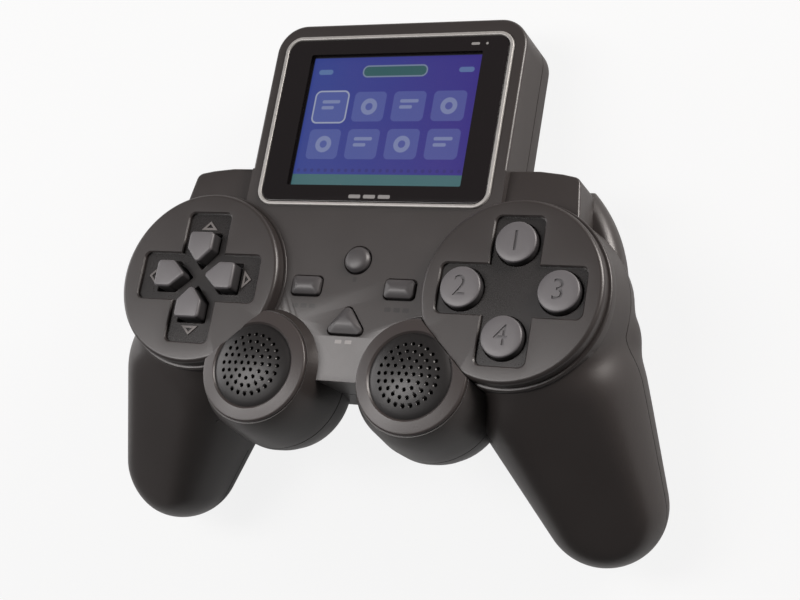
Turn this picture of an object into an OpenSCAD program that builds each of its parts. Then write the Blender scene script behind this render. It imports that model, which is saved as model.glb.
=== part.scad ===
// Handheld game console: a gamepad-shaped case in two shells, with a screen block on top.
// Every piece is drawn in the face frame: X right, Y towards the screen, Z out of the face,
// the disc centres on y = 0 and the centre panel on z = 0. seated() then lays it down as it
// rests on a table, on both grip tips and the rear edge of the screen block.

/* [Discs] */
// Distance between the centres of the two button discs
disc_spacing = 87.2; // [85:0.2:92]
// Diameter of a button disc
disc_d = 46.4; // [45:0.2:48]
// Height of a disc above the centre panel
disc_rise = 3.8; // [3.4:0.1:5]
// Rounding of a disc's upper edge
disc_rim = 0.8; // [0.4:0.1:1.2]
// Diameter of the case under a disc, at the parting line
drum_d = 50; // [49:0.5:52]
// Length of the cross recess round the direction pad
dpad_cross = 35.5; // [34.5:0.5:38]
// Length of the cross recess round the face buttons
face_cross = 37.5; // [36.5:0.5:39]
// Width of an arm of the cross recess
cross_w = 12.8; // [12.4:0.2:14]
// Corner radius of the cross recess
cross_r = 1.8; // [1:0.1:2.5]
// Depth of the cross recess
cross_depth = 1; // [0.6:0.1:1.2]

/* [Speaker pods] */
// Distance between the centres of the two pods
pod_spacing = 43.6; // [43:0.2:46]
// Distance of the pod centres below the disc centres
pod_drop = 22.8; // [22:0.2:24]
// Outer diameter of a pod's ring
pod_d = 29; // [28:0.2:30]
// Height of a pod's ring above the centre panel
pod_rise = 4.8; // [4.4:0.1:6]
// Thickness of the ring
ring_t = 1.6; // [1.4:0.1:2.2]
// Largest diameter of a pod, at its foot
pod_foot_d = 34.8; // [34:0.2:35.4]
// Diameter of the perforated dome inside the ring
dome_d = 21.8; // [20:0.2:22.4]
// Height of the dome's crown above its edge
dome_crown = 2.3; // [1.6:0.1:3]
// Thickness of the dome
dome_t = 1.2; // [1:0.1:1.4]
// Diameter of a sound hole
sound_hole_d = 0.9; // [0.8:0.1:1.2]
// Distance between the circles of sound holes
sound_hole_step = 1.95; // [1.75:0.05:2.1]
// Number of circles of sound holes
sound_hole_rings = 4; // [3:1:4]

/* [Screen] */
// Distance from the border's side edges in to the picture
lcd_in = 8.5; // [8:0.1:9.5]
// Distance from the border's upper edge down to the picture
lcd_down = 5.6; // [5.2:0.1:7]
// Distance from the border's lower edge up to the picture
lcd_up = 5.9; // [5.4:0.1:6.4]
// Width over the silver border
trim_w = 66; // [64:0.5:68]
// Height over the silver border
trim_h = 48.2; // [47.4:0.2:50]
// Distance from the disc centres up to the border's lower edge
trim_low = 21.7; // [21:0.1:22.4]
// Corner radius of the silver border
trim_r = 4.5; // [3:0.1:6]
// Width of the border's line
trim_line = 1; // [0.8:0.1:1.4]
// Height of the border above the panel
trim_rise = 0.7; // [0.4:0.1:1]
// Margin of the screen block beside the border
block_side = 3.2; // [3:0.1:5]
// Margin of the screen block above the border
block_rim = 3.8; // [3.4:0.1:6]
// Thickness of the screen block
block_t = 19; // [18:0.5:21]
// Corner radius of the screen block
block_r = 8; // [6:0.5:9]

/* [Body] */
// Distance from the disc centres down to the panel's lower edge
panel_low = 24.4; // [23.8:0.1:26]
// Thickness of the body
body_t = 25; // [24.5:0.1:27]
// Wall of both shells
wall = 2; // [1.6:0.1:2.2]
// Depth of the parting line below the panel
parting = 13; // [12.6:0.1:14]
// Distance of a shoulder's side from its disc's centre
shoulder_out = 12.9; // [11.5:0.1:14]
// Distance from the disc centres up to the shoulders' top edge
shoulder_y = 33; // [32.4:0.2:34]
// Drop of the shoulders below the panel
shoulder_drop = 2; // [1.4:0.1:3]
// How far the shoulders widen behind the parting line
shoulder_flare = 2.5; // [1.5:0.1:3]

/* [Grips] */
// Place of the grip's root ball: outwards from the disc centre
root_out = 7.3; // [6.5:0.1:8]
// Place of the grip's root ball: below the disc centres
root_drop = 17.8; // [17:0.1:19]
// Place of the grip's root ball: behind the panel
root_depth = 20.7; // [20:0.1:21.5]
// Radius of the grip's root ball
root_r = 21.5; // [21:0.1:22]
// Place of the grip's tip ball: outwards from the root ball
tip_out = 10.8; // [9:0.1:12]
// Place of the grip's tip ball: below the root ball
tip_drop = 24.4; // [22:0.1:27]
// Place of the grip's tip ball: behind the root ball
tip_depth = 14.6; // [13:0.1:16]
// Radius of the grip's tip ball
tip_r = 15.6; // [14.5:0.1:16.5]

/* [Keys] */
// Diameter of a face button
button_d = 10.4; // [9.6:0.1:10.8]
// Distance of the upper and lower face buttons from the centre of their disc
button_pitch = 11.8; // [11.5:0.1:12.2]
// Distance of the left and right face buttons from the centre of their disc
button_side = 12.5; // [12.1:0.1:12.7]
// Height of a face button above the disc
button_rise = 1.4; // [1.2:0.1:2.2]
// Travel of a face button
button_travel = 1.2; // [0.8:0.1:1.4]
// Width of a direction key
dpad_w = 7.2; // [6.6:0.1:7.6]
// Distance of a direction key's point from the centre of its disc
dpad_tip = 3; // [2.6:0.1:3.6]
// Distance of a direction key's shoulders from the centre of its disc
dpad_shoulder = 7; // [6.6:0.1:7.4]
// Distance of a direction key's outer end from the centre of its disc
dpad_end = 11.7; // [11:0.1:12]
// Height of a direction key above the disc
dpad_rise = 2.5; // [1.8:0.1:3]
// Tilt of the direction pad to each side, in degrees
dpad_tilt = 3; // [1:0.5:3]
// Width of the select and start keys
oblong_w = 8; // [7:0.1:8.6]
// Height of the select and start keys
oblong_h = 4.8; // [4.2:0.1:5.4]
// Distance of the select and start keys from the middle
oblong_x = 13.1; // [12.6:0.1:13.6]
// Diameter of the reset key
reset_d = 6.8; // [6:0.1:7.4]
// Distance of the reset key above the disc centres
reset_y = 7.3; // [7:0.1:8]
// Width of the three-cornered power key
power_w = 9.3; // [8.6:0.1:10]
// Height of the three-cornered power key
power_h = 6.9; // [6.4:0.1:7.4]
// Distance of the power key's middle below the disc centres
power_drop = 8.8; // [8.4:0.1:9.4]
// Height of the centre keys above the panel
key_rise = 1.7; // [1.2:0.1:2.2]
// Travel of the centre keys
key_travel = 0.9; // [0.6:0.1:1]
// Thickness of the flange that keeps a key in the case
flange_t = 1.2; // [1:0.1:1.4]
// How far that flange stands out from the key
flange_out = 1; // [0.8:0.1:1.2]

/* [Fits] */
// Gap round a key that slides
slide_gap = 0.3; // [0.2:0.05:0.4]
// Gap round the direction keys, which also tilt
tilt_gap = 0.55; // [0.5:0.05:0.7]
// Gap between pieces that lie in a pocket
seat_gap = 0.1; // [0.05:0.05:0.2]
// Play of a screw in the hole that it cuts
thread_gap = 0.05; // [0.02:0.01:0.1]
// Play of a screw in the hole that it passes through
pass_gap = 0.3; // [0.2:0.05:0.4]

/* [Inside] */
// Thickness of the circuit boards
board_t = 1.2; // [1:0.1:1.6]
// Thickness of the rubber membranes
membrane_t = 0.8; // [0.6:0.1:1]
// Height of a membrane's pip above its sheet
pip_h = 1; // [0.8:0.1:1.4]
// Radius of a membrane's pip
pip_r = 1.8; // [1.4:0.1:2]
// Thickness of the screen window
lens_t = 1.5; // [1.2:0.1:1.6]
// Thickness of the display
lcd_t = 2.3; // [2:0.1:2.6]
// Length of the battery, across the body
battery_w = 53; // [50:0.5:54]
// Width of the battery
battery_h = 34; // [32:0.5:35]
// Thickness of the battery
battery_t = 5.7; // [5:0.1:6]
// Thickness of the battery door
door_t = 1.6; // [1.4:0.1:2]
// Radius of a speaker's basket
speaker_r = 8.6; // [8.2:0.1:8.8]
// Radius of the jack's bore
jack_r = 1.8; // [1.75:0.05:2]
// Depth of the jack's bore
jack_depth = 14; // [12:0.5:15]
// Diameter of a case screw
case_screw_d = 2; // [1.8:0.1:2.4]
// Length of a case screw under its head
case_screw_l = 9; // [7:0.5:10]
// Diameter of a board screw
board_screw_d = 1.6; // [1.4:0.1:1.8]

/* [Hidden] */
$fn = 64;
SIDES = [-1, 1];
QUARTERS = [0:90:270];
// Room that a cut runs past the solid that it cuts
over = 1;
// Reach of the blocks that divide the case, larger than the case
reach = 200;

disc_x = disc_spacing/2;
disc_r = disc_d/2;
pod_x = pod_spacing/2;
pod_r = pod_d/2;
dome_r = dome_d/2;

// Drum under a disc: it ends just above the body's rear face, with a turned-in foot.
drum_r = drum_d/2;
drum_lift = 0.6;
drum_foot = drum_lift - body_t;
drum_turn = 5;
drum_tuck = 0.6;

// Pod under a ring: a flared wall, a straight band at the parting line and a tapered foot
pod_foot_r = pod_foot_d/2;
pod_lift = 1;
pod_foot = pod_lift - body_t;
pod_foot_in = 3.9;
pod_flare = 1.7;
pod_lip = 0.3;
pod_band = [3, -2];
pod_turn = [1.2, -7];
deck_z = pod_rise - ring_t;
ring_edge = 0.5;
ring_fall = 0.6;
dome_sunk = 0.5;
speaker_flange = 0.7;
speaker_flange_t = 1.2;
speaker_basket_t = 5.4;
magnet_in = 3;
magnet_t = 1.6;

// The disc and the ring beside it meet along the common chord of their two circles.
chord_run = [disc_x - pod_x, pod_drop];
chord_len = norm(chord_run);
chord_angle = atan2(chord_run[1], chord_run[0]);
chord_from_disc = (chord_len*chord_len + disc_r*disc_r - pod_r*pod_r)/(2*chord_len);

// Heights of the layers under the discs
recess_z = disc_rise - cross_depth;
plate_z = recess_z - wall;
button_top = disc_rise + button_rise;
button_foot = plate_z - 2*slide_gap - flange_t;
pip_gap = 0.3;
disc_pip_z = button_foot - button_travel - pip_gap;
disc_sheet_z = disc_pip_z - pip_h;
disc_board_z = disc_sheet_z - membrane_t;
disc_board_in = 1.7;
disc_board_r = disc_r - wall - disc_board_in;

// The rocker lies low enough to tilt under the disc's plate.
rocker_lip = 2;
rocker_r = dpad_end + rocker_lip;
rocker_t = 1.2;
rocker_swing = rocker_r*sin(dpad_tilt);
rocker_top = plate_z - rocker_swing - slide_gap;
rocker_foot = rocker_top - rocker_t;
rocker_pip_z = rocker_foot - rocker_swing - pip_gap;
rocker_pip_in = 2;
pivot_r = 2.4;
dpad_top = disc_rise + dpad_rise;
arrow_half = 1.6;
arrow_up = 2.2;
arrow_rise = 0.3;

// Heights of the layers under the centre panel
key_foot = -wall - slide_gap - flange_t;
key_pip_z = key_foot - key_travel - pip_gap;
key_sheet_z = key_pip_z - pip_h;
board_z = key_sheet_z - membrane_t;
board_foot = board_z - board_t;
membrane_edge = 2.4;
oblong_r = 1;
power_r = 1.2;
corner_steps = 8;

// The window, the display behind it, its frame and its ribbon
lens_sunk = 0.2;
lens_top = trim_rise - lens_sunk;
lens_z = lens_top - lens_t;
lcd_w = trim_w - 2*lcd_in;
lcd_h = trim_h - lcd_up - lcd_down;
lcd_low = trim_low + lcd_up;
lcd_side = 1.8;
lcd_tail = 4;
lcd_z = lens_z - seat_gap - lcd_t;
lcd_mid = lcd_low + (lcd_h + lcd_side - lcd_tail)/2;
lcd_out = [lcd_w + 2*lcd_side, lcd_h + lcd_side + lcd_tail];
lcd_corner = 0.4;
lcd_foot = lcd_mid - lcd_out[1]/2;
frame_lip = 1.4;
frame_t = 0.8;
frame_z = lcd_z - frame_t;
frame_r = 1;
ribbon_w = 20;
ribbon_t = 0.25;
ribbon_run = 2.2;
ribbon_room = 0.5;
ribbon_land = 6;

trim_mid = trim_low + trim_h/2;
block_w = trim_w + 2*block_side;
block_top = trim_low + trim_h + block_rim;
// Hidden end of the screen block, inside the body
block_root = 9.7;
block_low = trim_low - block_root;
block_mid = (block_top + block_low)/2;

// The battery bay opens in the rear face of the body, and its door runs out past the shoulders.
body_in = 1;
body_top = shoulder_y - body_in;
contacts_w = 14;
contacts_t = 2.2;
blade_w = 1.2;
blade_pitch = 4;
bay_gap = 0.25;
bay_wall = 1.6;
bay_w = battery_w + 2*bay_gap;
bay_h = battery_h + contacts_t + 2*bay_gap;
bay_up = 8;
bay_low = bay_up - panel_low;
bay_floor = -body_t + door_t + bay_gap + battery_t + seat_gap;
door_lip = 1.6;
door_w = bay_w + 2*door_lip;
door_low = bay_low - door_lip;
door_ribs = 5;
door_rib_pitch = 2;
door_rib_w = 16;
door_rib_depth = 0.5;
door_rib_in = 4;
battery_r = 1.5;

// Shoulders: the front and the rear step's rise above the body's rear face, and their corners
shoulder_lift = [2.4, 1.8];
shoulder_r = [6, 9];
shoulder_x = disc_x + shoulder_out;
shoulder_root = 4;
shoulder_reach = 18;
// Each step: [widening, height of the foot, height of the top, corner radius]
shoulder_steps = [
    [0, shoulder_lift[0] - body_t, -shoulder_drop, shoulder_r[0]],
    [shoulder_flare, shoulder_lift[1] - body_t, -parting, shoulder_r[1]]];

// The grip's axis, and the slope that the parting line takes along it
root = [disc_x + root_out, -root_drop, -root_depth];
tip = root + [tip_out, -tip_drop, -tip_depth];
grip_len = norm(tip - root);
grip_slope = tip_depth/tip_drop;
seam_lift = 0.3;
seam_bend = tip[1] - (tip[2] + seam_lift + parting)/grip_slope;
seam_side = 0.8;
seam_x = pod_x + pod_foot_r + seam_side;
function seam_z(y) = y > seam_bend ? -parting : tip[2] + seam_lift + (y - tip[1])*grip_slope;

// Case screws: [x, y, depth of the rear face there]
boss_r = 3;
boss_bite = 0.4;
case_head_r = 2.3;
case_head_t = 1.6;
case_seat = 4;
corner_in = 7;
door_clear = 1.5;
case_screws_at = [
    [block_w/2 - wall - boss_r + boss_bite, block_top - corner_in, block_t],
    [door_w/2 + boss_r + door_clear, trim_low + boss_r, body_t]];
// A grip's screw stands part way up from the tip ball.
grip_screw_up = 0.46;
grip_screw = tip + grip_screw_up*(root - tip);
grip_seam = seam_z(grip_screw[1]);
grip_foot = grip_seam - tip_r;

// Board screws and the posts that take them
post_r = 2.2;
post_in = 0.4;
board_head_r = 1.7;
board_head_t = 1;
board_screw_l = 3;
disc_post = (disc_board_r - post_r - post_in)*sqrt(0.5);
disc_sheet_r = disc_post*sqrt(2) - post_r - post_in;
pip_edge = 0.4;
centre_post = [14.6, 14.4];
low_post_up = 7;
centre_posts_at = [[-centre_post[0], centre_post[1]], centre_post, [0, low_post_up - panel_low]];

// Main board: a stem under the keys and a head behind the display
board_stem = 36.4;
board_side = 1.5;
board_end_gap = 0.4;
board_low_gap = 1;
board_head = lcd_out[0] + 2*board_side;
board_end = block_top - wall - board_end_gap;
board_low = wall + board_low_gap - panel_low;
chip_w = 14;
chip_t = 1.6;
chip_r = 1;

// Sockets in the top wall
usb_w = 7.6;
usb_h = 2.6;
usb_x = -10;
usb_depth = 5.6;
usb_skin = 0.35;
usb_sunk = 0.4;
jack_x = 10;
jack_skin = 0.7;
jack_nose_r = jack_r + jack_skin;
jack_wall = 0.3;
jack_side = jack_nose_r + jack_wall;
jack_z = board_foot - jack_side;
jack_sunk = 0.2;

// Rest on the table: the line that touches the grip tips and the block's rear edge
edge_run = [block_top - tip[1], -tip[2] - block_t];
rest_tilt = atan2(edge_run[1], edge_run[0]) + asin(tip_r/norm(edge_run));
rest_up = block_top*sin(rest_tilt) + block_t*cos(rest_tilt);
rest_front = tip[1]*cos(rest_tilt) + tip[2]*sin(rest_tilt) - tip_r;
rest_back = block_top*cos(rest_tilt);

// Place and orientation

module seated() {
    translate([0, -(rest_front + rest_back)/2, rest_up]) rotate([-rest_tilt, 0, 0]) children();
}

module both_sides() {
    children();
    mirror([1, 0, 0]) children();
}

// Turn local Z along the line from a to b
module along(a, b) {
    run = b - a;
    translate(a) rotate([0, acos(run[2]/norm(run)), atan2(run[1], run[0])]) children();
}

// Plain solids and outlines

function arc(centre, r, from, to, steps) =
    [for (i = [0:steps]) let (a = from + (to - from)*i/steps) centre + r*[cos(a), sin(a)]];

module rounded_rect(w, h, r) {
    square([w - 2*r, h], center = true);
    square([w, h - 2*r], center = true);
    for (x = SIDES) for (y = SIDES) translate([x*(w/2 - r), y*(h/2 - r)]) circle(r);
}

module slab(w, h, r, low, high) {
    translate([0, 0, low]) linear_extrude(high - low) rounded_rect(w, h, r);
}

// A box from one corner to the other
module span(a, b) {
    translate(a) cube(b - a);
}

module column(r, low, high) {
    translate([0, 0, low]) cylinder(r = r, h = high - low);
}

// A direction key's outline: a house whose roof points to the middle
module house(grow) {
    half = dpad_w/2 + grow;
    roof = atan2(dpad_shoulder - dpad_tip, dpad_w/2);
    peak = dpad_tip - grow/cos(roof);
    eaves = peak + half*tan(roof);
    end = dpad_end + grow;
    polygon([[-half, eaves], [0, peak], [half, eaves], [half, end], [-half, end]]);
}

// A triangle with round corners, whose corner centres stay in place as it grows
module rounded_triangle(w, h, r, grow) {
    side = r + grow;
    half = w/2 - r;
    tall = h/2 - r;
    lean = atan2(half, 2*tall);
    polygon(concat(arc([half, -tall], side, -90, lean, corner_steps),
        arc([0, tall], side, lean, 180 - lean, corner_steps),
        arc([-half, -tall], side, 180 - lean, 270, corner_steps)));
}

// Forms of the case, each less by an inset for its hollow

module drum(inset) {
    solid = inset == 0;
    top = solid ? disc_rise : plate_z;
    rim = solid ? disc_rim : 0;
    foot = drum_foot + inset;
    waist = drum_r - inset;
    rotate_extrude() polygon(concat(
        [[0, foot], [waist - drum_turn, foot], [waist - drum_tuck, foot + drum_turn],
         [waist, -parting], [disc_r - inset, 0], [disc_r - inset, top - rim]],
        solid ? arc([disc_r - rim, top - rim], rim, 15, 90, 5) : [],
        [[0, top]]));
}

module pod(inset) {
    top = inset == 0 ? deck_z : deck_z - wall;
    foot = pod_foot + inset;
    band = pod_foot_r - inset;
    rotate_extrude() polygon([
        [0, foot], [band - pod_foot_in, foot], [band - pod_turn[0], pod_turn[1] - parting],
        [band, pod_band[1] - parting], [band, pod_band[0] - parting],
        [pod_r + pod_flare - inset, 0], [pod_r + pod_lip - inset, top], [0, top]]);
}

// A grip is the solid of revolution that wraps its two balls.
module grip(inset) {
    lean = asin((root_r - tip_r)/grip_len);
    along(root, tip) rotate_extrude() polygon(concat(
        arc([0, 0], root_r - inset, -90, lean, 14), arc([0, grip_len], tip_r - inset, lean, 90, 12)));
}

module shoulder(inset) {
    for (step = shoulder_steps) {
        w = shoulder_out + step[0] + shoulder_reach;
        translate([shoulder_x + step[0] - w/2, (shoulder_y + shoulder_root)/2, 0]) slab(w - 2*inset,
            shoulder_y - shoulder_root - 2*inset, step[3] - inset, step[1] + inset, step[2] - inset);
    }
}

module block(inset) {
    translate([0, block_mid, 0])
        slab(block_w - 2*inset, block_top - block_low - 2*inset, block_r - inset, inset - block_t, -inset);
}

module centre(inset) {
    half = block_w/2 - inset;
    span([-half, inset - panel_low, inset - body_t], [half, body_top - inset, -inset]);
}

// What lies on the pod's side of the chord, above the panel
module beyond_chord() {
    translate([disc_x, 0, 0]) rotate([0, 0, chord_angle])
        span([-reach, -reach/2, 0], [-chord_from_disc, reach/2, reach/2]);
}

// What lies on the disc's side of the chord, and a gap more
module before_chord(gap) {
    translate([disc_x, 0, 0]) rotate([0, 0, chord_angle])
        span([-chord_from_disc - gap, -reach/2, -reach/2], [reach, reach/2, reach/2]);
}

module right_half_form() {
    difference() {
        translate([disc_x, 0, 0]) drum(0);
        beyond_chord();
    }
    difference() {
        translate([pod_x, -pod_drop, 0]) pod(0);
        before_chord(0);
    }
    grip(0);
    shoulder(0);
}

module right_half_hollow() {
    translate([disc_x, 0, 0]) drum(wall);
    difference() {
        translate([pod_x, -pod_drop, 0]) pod(wall);
        before_chord(wall/2);
    }
    grip(wall);
    shoulder(wall);
}

module case_form() {
    centre(0);
    block(0);
    both_sides() right_half_form();
}

module case_hollow() {
    centre(wall);
    block(wall);
    both_sides() right_half_hollow();
}

// All that belongs to the front shell: above the parting line, which slopes down the grips
module front_region() {
    span([-reach, -reach, -parting], [reach, reach, reach]);
    both_sides() translate([seam_x, 0, 0]) rotate([90, 0, 90]) linear_extrude(reach)
        polygon([[seam_bend, -parting], [seam_bend, over - parting], [-reach, over - parting],
            [-reach, seam_z(-reach)]]);
}

// Places that pieces share

module at_case_screws() {
    for (x = SIDES) for (s = case_screws_at) translate([x*s[0], s[1], 0]) children();
}

module at_grip_screws() {
    for (x = SIDES) translate([x*grip_screw[0], grip_screw[1], 0]) children();
}

module at_disc_posts() {
    for (x = SIDES) for (s = SIDES) translate([x*disc_x + s*disc_post, s*disc_post, 0]) children();
}

module at_centre_posts() {
    for (p = centre_posts_at) translate(p) children();
}

function button_at(angle) = [button_side*cos(angle), button_pitch*sin(angle)];

module at_face_buttons() {
    for (a = QUARTERS) translate(button_at(a)) children();
}

module at_direction_keys() {
    for (a = QUARTERS) rotate([0, 0, a]) children();
}

// Lies along the jack's bore, from the top wall inwards
module at_jack() {
    translate([jack_x, block_top, jack_z]) rotate([90, 0, 0]) children();
}

// Outlines of the four centre keys, in their places

module select_outline(grow) {
    translate([-oblong_x, 0, 0]) rounded_rect(oblong_w + 2*grow, oblong_h + 2*grow, oblong_r + grow);
}

module start_outline(grow) {
    mirror([1, 0, 0]) select_outline(grow);
}

module reset_outline(grow) {
    translate([0, reset_y]) circle(reset_d/2 + grow);
}

module power_outline(grow) {
    translate([0, -power_drop]) rounded_triangle(power_w, power_h, power_r, grow);
}

module cross_recess(length) {
    slab(length, cross_w, cross_r, recess_z, disc_rise + over);
    slab(cross_w, length, cross_r, recess_z, disc_rise + over);
}

// A small raised arrow near the end of each arm of the left recess
module arm_arrows() {
    base = dpad_end + arrow_up;
    at_direction_keys() translate([0, 0, recess_z - over]) linear_extrude(over + arrow_rise)
        polygon([[-arrow_half, base], [arrow_half, base], [0, base + arrow_half]]);
}

// Case

module front_walls() {
    difference() {
        intersection() {
            case_form();
            front_region();
        }
        case_hollow();
        translate([-disc_x, 0, 0]) cross_recess(dpad_cross);
        translate([disc_x, 0, 0]) cross_recess(face_cross);
    }
}

module front_posts() {
    at_case_screws() column(boss_r, -parting, -wall);
    intersection() {
        at_grip_screws() column(boss_r, grip_seam - boss_r, 0);
        both_sides() grip(wall/2);
        front_region();
    }
    at_disc_posts() column(post_r, disc_board_z, plate_z);
    at_centre_posts() column(post_r, board_z, -wall);
}

module front_screw_holes() {
    at_case_screws() column(case_screw_d/2, -parting - over, -wall - over);
    at_grip_screws() column(case_screw_d/2, grip_seam - 2*boss_r, grip_seam + case_screw_l);
    at_disc_posts() column(board_screw_d/2, disc_board_z - over, plate_z - over);
    at_centre_posts() column(board_screw_d/2, board_z - over, -wall - over);
}

module key_holes() {
    translate([disc_x, 0, 0]) at_face_buttons() column(button_d/2 + slide_gap, plate_z - over, disc_rise);
    translate([-disc_x, 0, 0]) at_direction_keys() translate([0, 0, plate_z - over])
        linear_extrude(wall + 2*over) house(tilt_gap);
    translate([0, 0, -wall - over]) linear_extrude(wall + 2*over) {
        select_outline(slide_gap);
        start_outline(slide_gap);
        reset_outline(slide_gap);
        power_outline(slide_gap);
    }
}

module screen_opening() {
    translate([0, trim_mid, 0])
        slab(trim_w + 2*seat_gap, trim_h + 2*seat_gap, trim_r + seat_gap, lens_z, over);
    translate([0, lcd_mid, 0])
        slab(lcd_out[0] + 2*seat_gap, lcd_out[1] + 2*seat_gap, lcd_corner + seat_gap, -wall - over, over);
    span([-ribbon_w/2 - ribbon_room, lcd_foot - ribbon_run - ribbon_room, -wall - over],
        [ribbon_w/2 + ribbon_room, lcd_foot + over, lens_z - ribbon_t]);
}

module socket_holes() {
    half = usb_w/2 + seat_gap;
    span([usb_x - half, block_top - wall - over, board_foot - usb_h - seat_gap],
        [usb_x + half, block_top + over, board_foot + seat_gap]);
    at_jack() column(jack_nose_r + seat_gap, -over, wall + over);
}

module front_shell() {
    color("#35302f") seated() difference() {
        union() {
            front_walls();
            front_posts();
            translate([-disc_x, 0, 0]) arm_arrows();
        }
        front_screw_holes();
        key_holes();
        screen_opening();
        socket_holes();
        for (x = SIDES) translate([x*pod_x, -pod_drop, 0])
            column(speaker_r - speaker_flange, -over, deck_z + over);
    }
}

module rear_posts() {
    for (x = SIDES) for (s = case_screws_at) translate([x*s[0], s[1], 0])
        column(boss_r, wall/2 - s[2], -parting);
    intersection() {
        at_grip_screws() column(boss_r, -reach, grip_seam + boss_r);
        difference() {
            both_sides() grip(wall/2);
            front_region();
        }
    }
}

// Walls round the battery, and the plate that the door runs under
module battery_bay() {
    half = bay_w/2 + bay_wall;
    span([-half, bay_low - bay_wall, wall/2 - body_t],
        [half, bay_low + bay_h + bay_wall, bay_floor + bay_wall]);
    span([-door_w/2 - bay_wall, door_low - bay_wall, wall/2 - body_t],
        [door_w/2 + bay_wall, body_top - wall/2, door_t + seat_gap + bay_wall - body_t]);
}

module screw_hole(face) {
    column(case_screw_d/2 + pass_gap, face - over, 0);
    column(case_head_r + pass_gap, -reach, face + case_seat);
}

module rear_shell() {
    color("#332e2d") seated() difference() {
        union() {
            difference() {
                case_form();
                front_region();
                case_hollow();
            }
            rear_posts();
            battery_bay();
        }
        for (x = SIDES) for (s = case_screws_at) translate([x*s[0], s[1], 0]) screw_hole(-s[2]);
        at_grip_screws() screw_hole(grip_foot);
        span([-bay_w/2, bay_low, -body_t - over], [bay_w/2, bay_low + bay_h, bay_floor]);
        span([-door_w/2 - bay_gap, door_low - bay_gap, -body_t - over],
            [door_w/2 + bay_gap, body_top + over, door_t + seat_gap - body_t]);
    }
}

// A plate with a few thumb grooves near its outer end
module battery_door() {
    color("#332e2d") seated() difference() {
        span([-door_w/2, door_low, -body_t], [door_w/2, body_top, door_t - body_t]);
        for (i = [0:door_ribs - 1]) translate([0, body_top - door_rib_in - door_rib_pitch*i, 0])
            span([-door_rib_w/2, -door_rib_pitch/2, -body_t - over],
                [door_rib_w/2, 0, door_rib_depth - body_t]);
    }
}

// Screen

module screen_trim() {
    color("#c9cacc") seated() translate([0, trim_mid, 0]) difference() {
        slab(trim_w, trim_h, trim_r, lens_z, trim_rise);
        slab(trim_w - 2*trim_line, trim_h - 2*trim_line, trim_r - trim_line, lens_z - over, trim_rise + over);
    }
}

module screen_lens() {
    inner = trim_line + seat_gap;
    color("#141416") seated() translate([0, trim_mid, 0])
        slab(trim_w - 2*inner, trim_h - 2*inner, trim_r - inner, lens_z, lens_top);
}

module lcd_panel() {
    color("#3a44b0") seated() translate([0, lcd_mid, 0])
        slab(lcd_out[0], lcd_out[1], lcd_corner, lcd_z, lcd_z + lcd_t);
}

// A sheet tray that holds the display up against the front shell
module lcd_frame() {
    room = 2*seat_gap;
    rim = 2*(frame_lip + seat_gap);
    color("#9a9c9e") seated() difference() {
        translate([0, lcd_mid, 0]) difference() {
            slab(lcd_out[0] + rim, lcd_out[1] + rim, frame_r, frame_z, -wall);
            slab(lcd_out[0] + room, lcd_out[1] + room, lcd_corner + seat_gap, lcd_z, over);
        }
        span([-ribbon_w/2 - ribbon_room, lcd_foot - frame_lip - over, frame_z - over],
            [ribbon_w/2 + ribbon_room, lcd_foot + over, over]);
    }
}

// The ribbon leaves the display's foot, turns back and lies on the board.
module lcd_ribbon() {
    top = lcd_z + lcd_t/2;
    far = lcd_foot - ribbon_run;
    land = lcd_foot + ribbon_land;
    color("#b5702a") seated() translate([-ribbon_w/2, 0, 0]) rotate([90, 0, 90]) linear_extrude(ribbon_w)
        polygon([
            [lcd_foot, top], [far, top], [far, board_z], [land, board_z],
            [land, board_z + ribbon_t], [far + ribbon_t, board_z + ribbon_t],
            [far + ribbon_t, top - ribbon_t], [lcd_foot, top - ribbon_t]]);
}

// Boards

module main_board() {
    color("#2c6a3c") seated() difference() {
        union() {
            span([-board_stem/2, board_low, board_foot], [board_stem/2, lcd_foot + over, board_z]);
            span([-board_head/2, lcd_foot, board_foot], [board_head/2, board_end, board_z]);
        }
        at_centre_posts() column(board_screw_d/2 + pass_gap, board_foot - over, board_z + over);
    }
}

module main_chip() {
    color("#1c1c1e") seated() translate([0, lcd_mid, 0])
        slab(chip_w, chip_w, chip_r, board_foot - chip_t, board_foot);
}

module button_board(x) {
    color("#2c6a3c") seated() difference() {
        translate([x*disc_x, 0, 0]) column(disc_board_r, disc_board_z - board_t, disc_board_z);
        at_disc_posts()
            column(board_screw_d/2 + pass_gap, disc_board_z - board_t - over, disc_board_z + over);
    }
}

module left_button_board() {
    button_board(-1);
}

module right_button_board() {
    button_board(1);
}

// Membranes: a sheet on the board, with a pip under each key

module dpad_membrane() {
    color("#8f9091") seated() translate([-disc_x, 0, 0]) difference() {
        union() {
            column(disc_sheet_r, disc_board_z, disc_sheet_z);
            for (a = QUARTERS) rotate([0, 0, a]) translate([dpad_end - rocker_pip_in, 0, 0])
                column(pip_r, disc_board_z, rocker_pip_z);
        }
        column(pivot_r + 2*slide_gap, disc_board_z - over, disc_sheet_z + over);
    }
}

// A pip lies under the middle of its button, or as far out as its sheet lets it.
module face_membrane() {
    far = disc_sheet_r - pip_r - pip_edge;
    color("#8f9091") seated() translate([disc_x, 0, 0]) {
        column(disc_sheet_r, disc_board_z, disc_sheet_z);
        for (a = QUARTERS) rotate([0, 0, a]) translate([min(far, norm(button_at(a))), 0, 0])
            column(pip_r, disc_board_z, disc_pip_z);
    }
}

module centre_membrane() {
    edge = pip_r + membrane_edge;
    color("#8f9091") seated() {
        span([-oblong_x - edge, -power_drop - edge, board_z], [oblong_x + edge, reset_y + edge, key_sheet_z]);
        for (p = [[-oblong_x, 0], [oblong_x, 0], [0, reset_y], [0, -power_drop]])
            translate(p) column(pip_r, board_z, key_pip_z);
    }
}

// Keys that move

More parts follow.
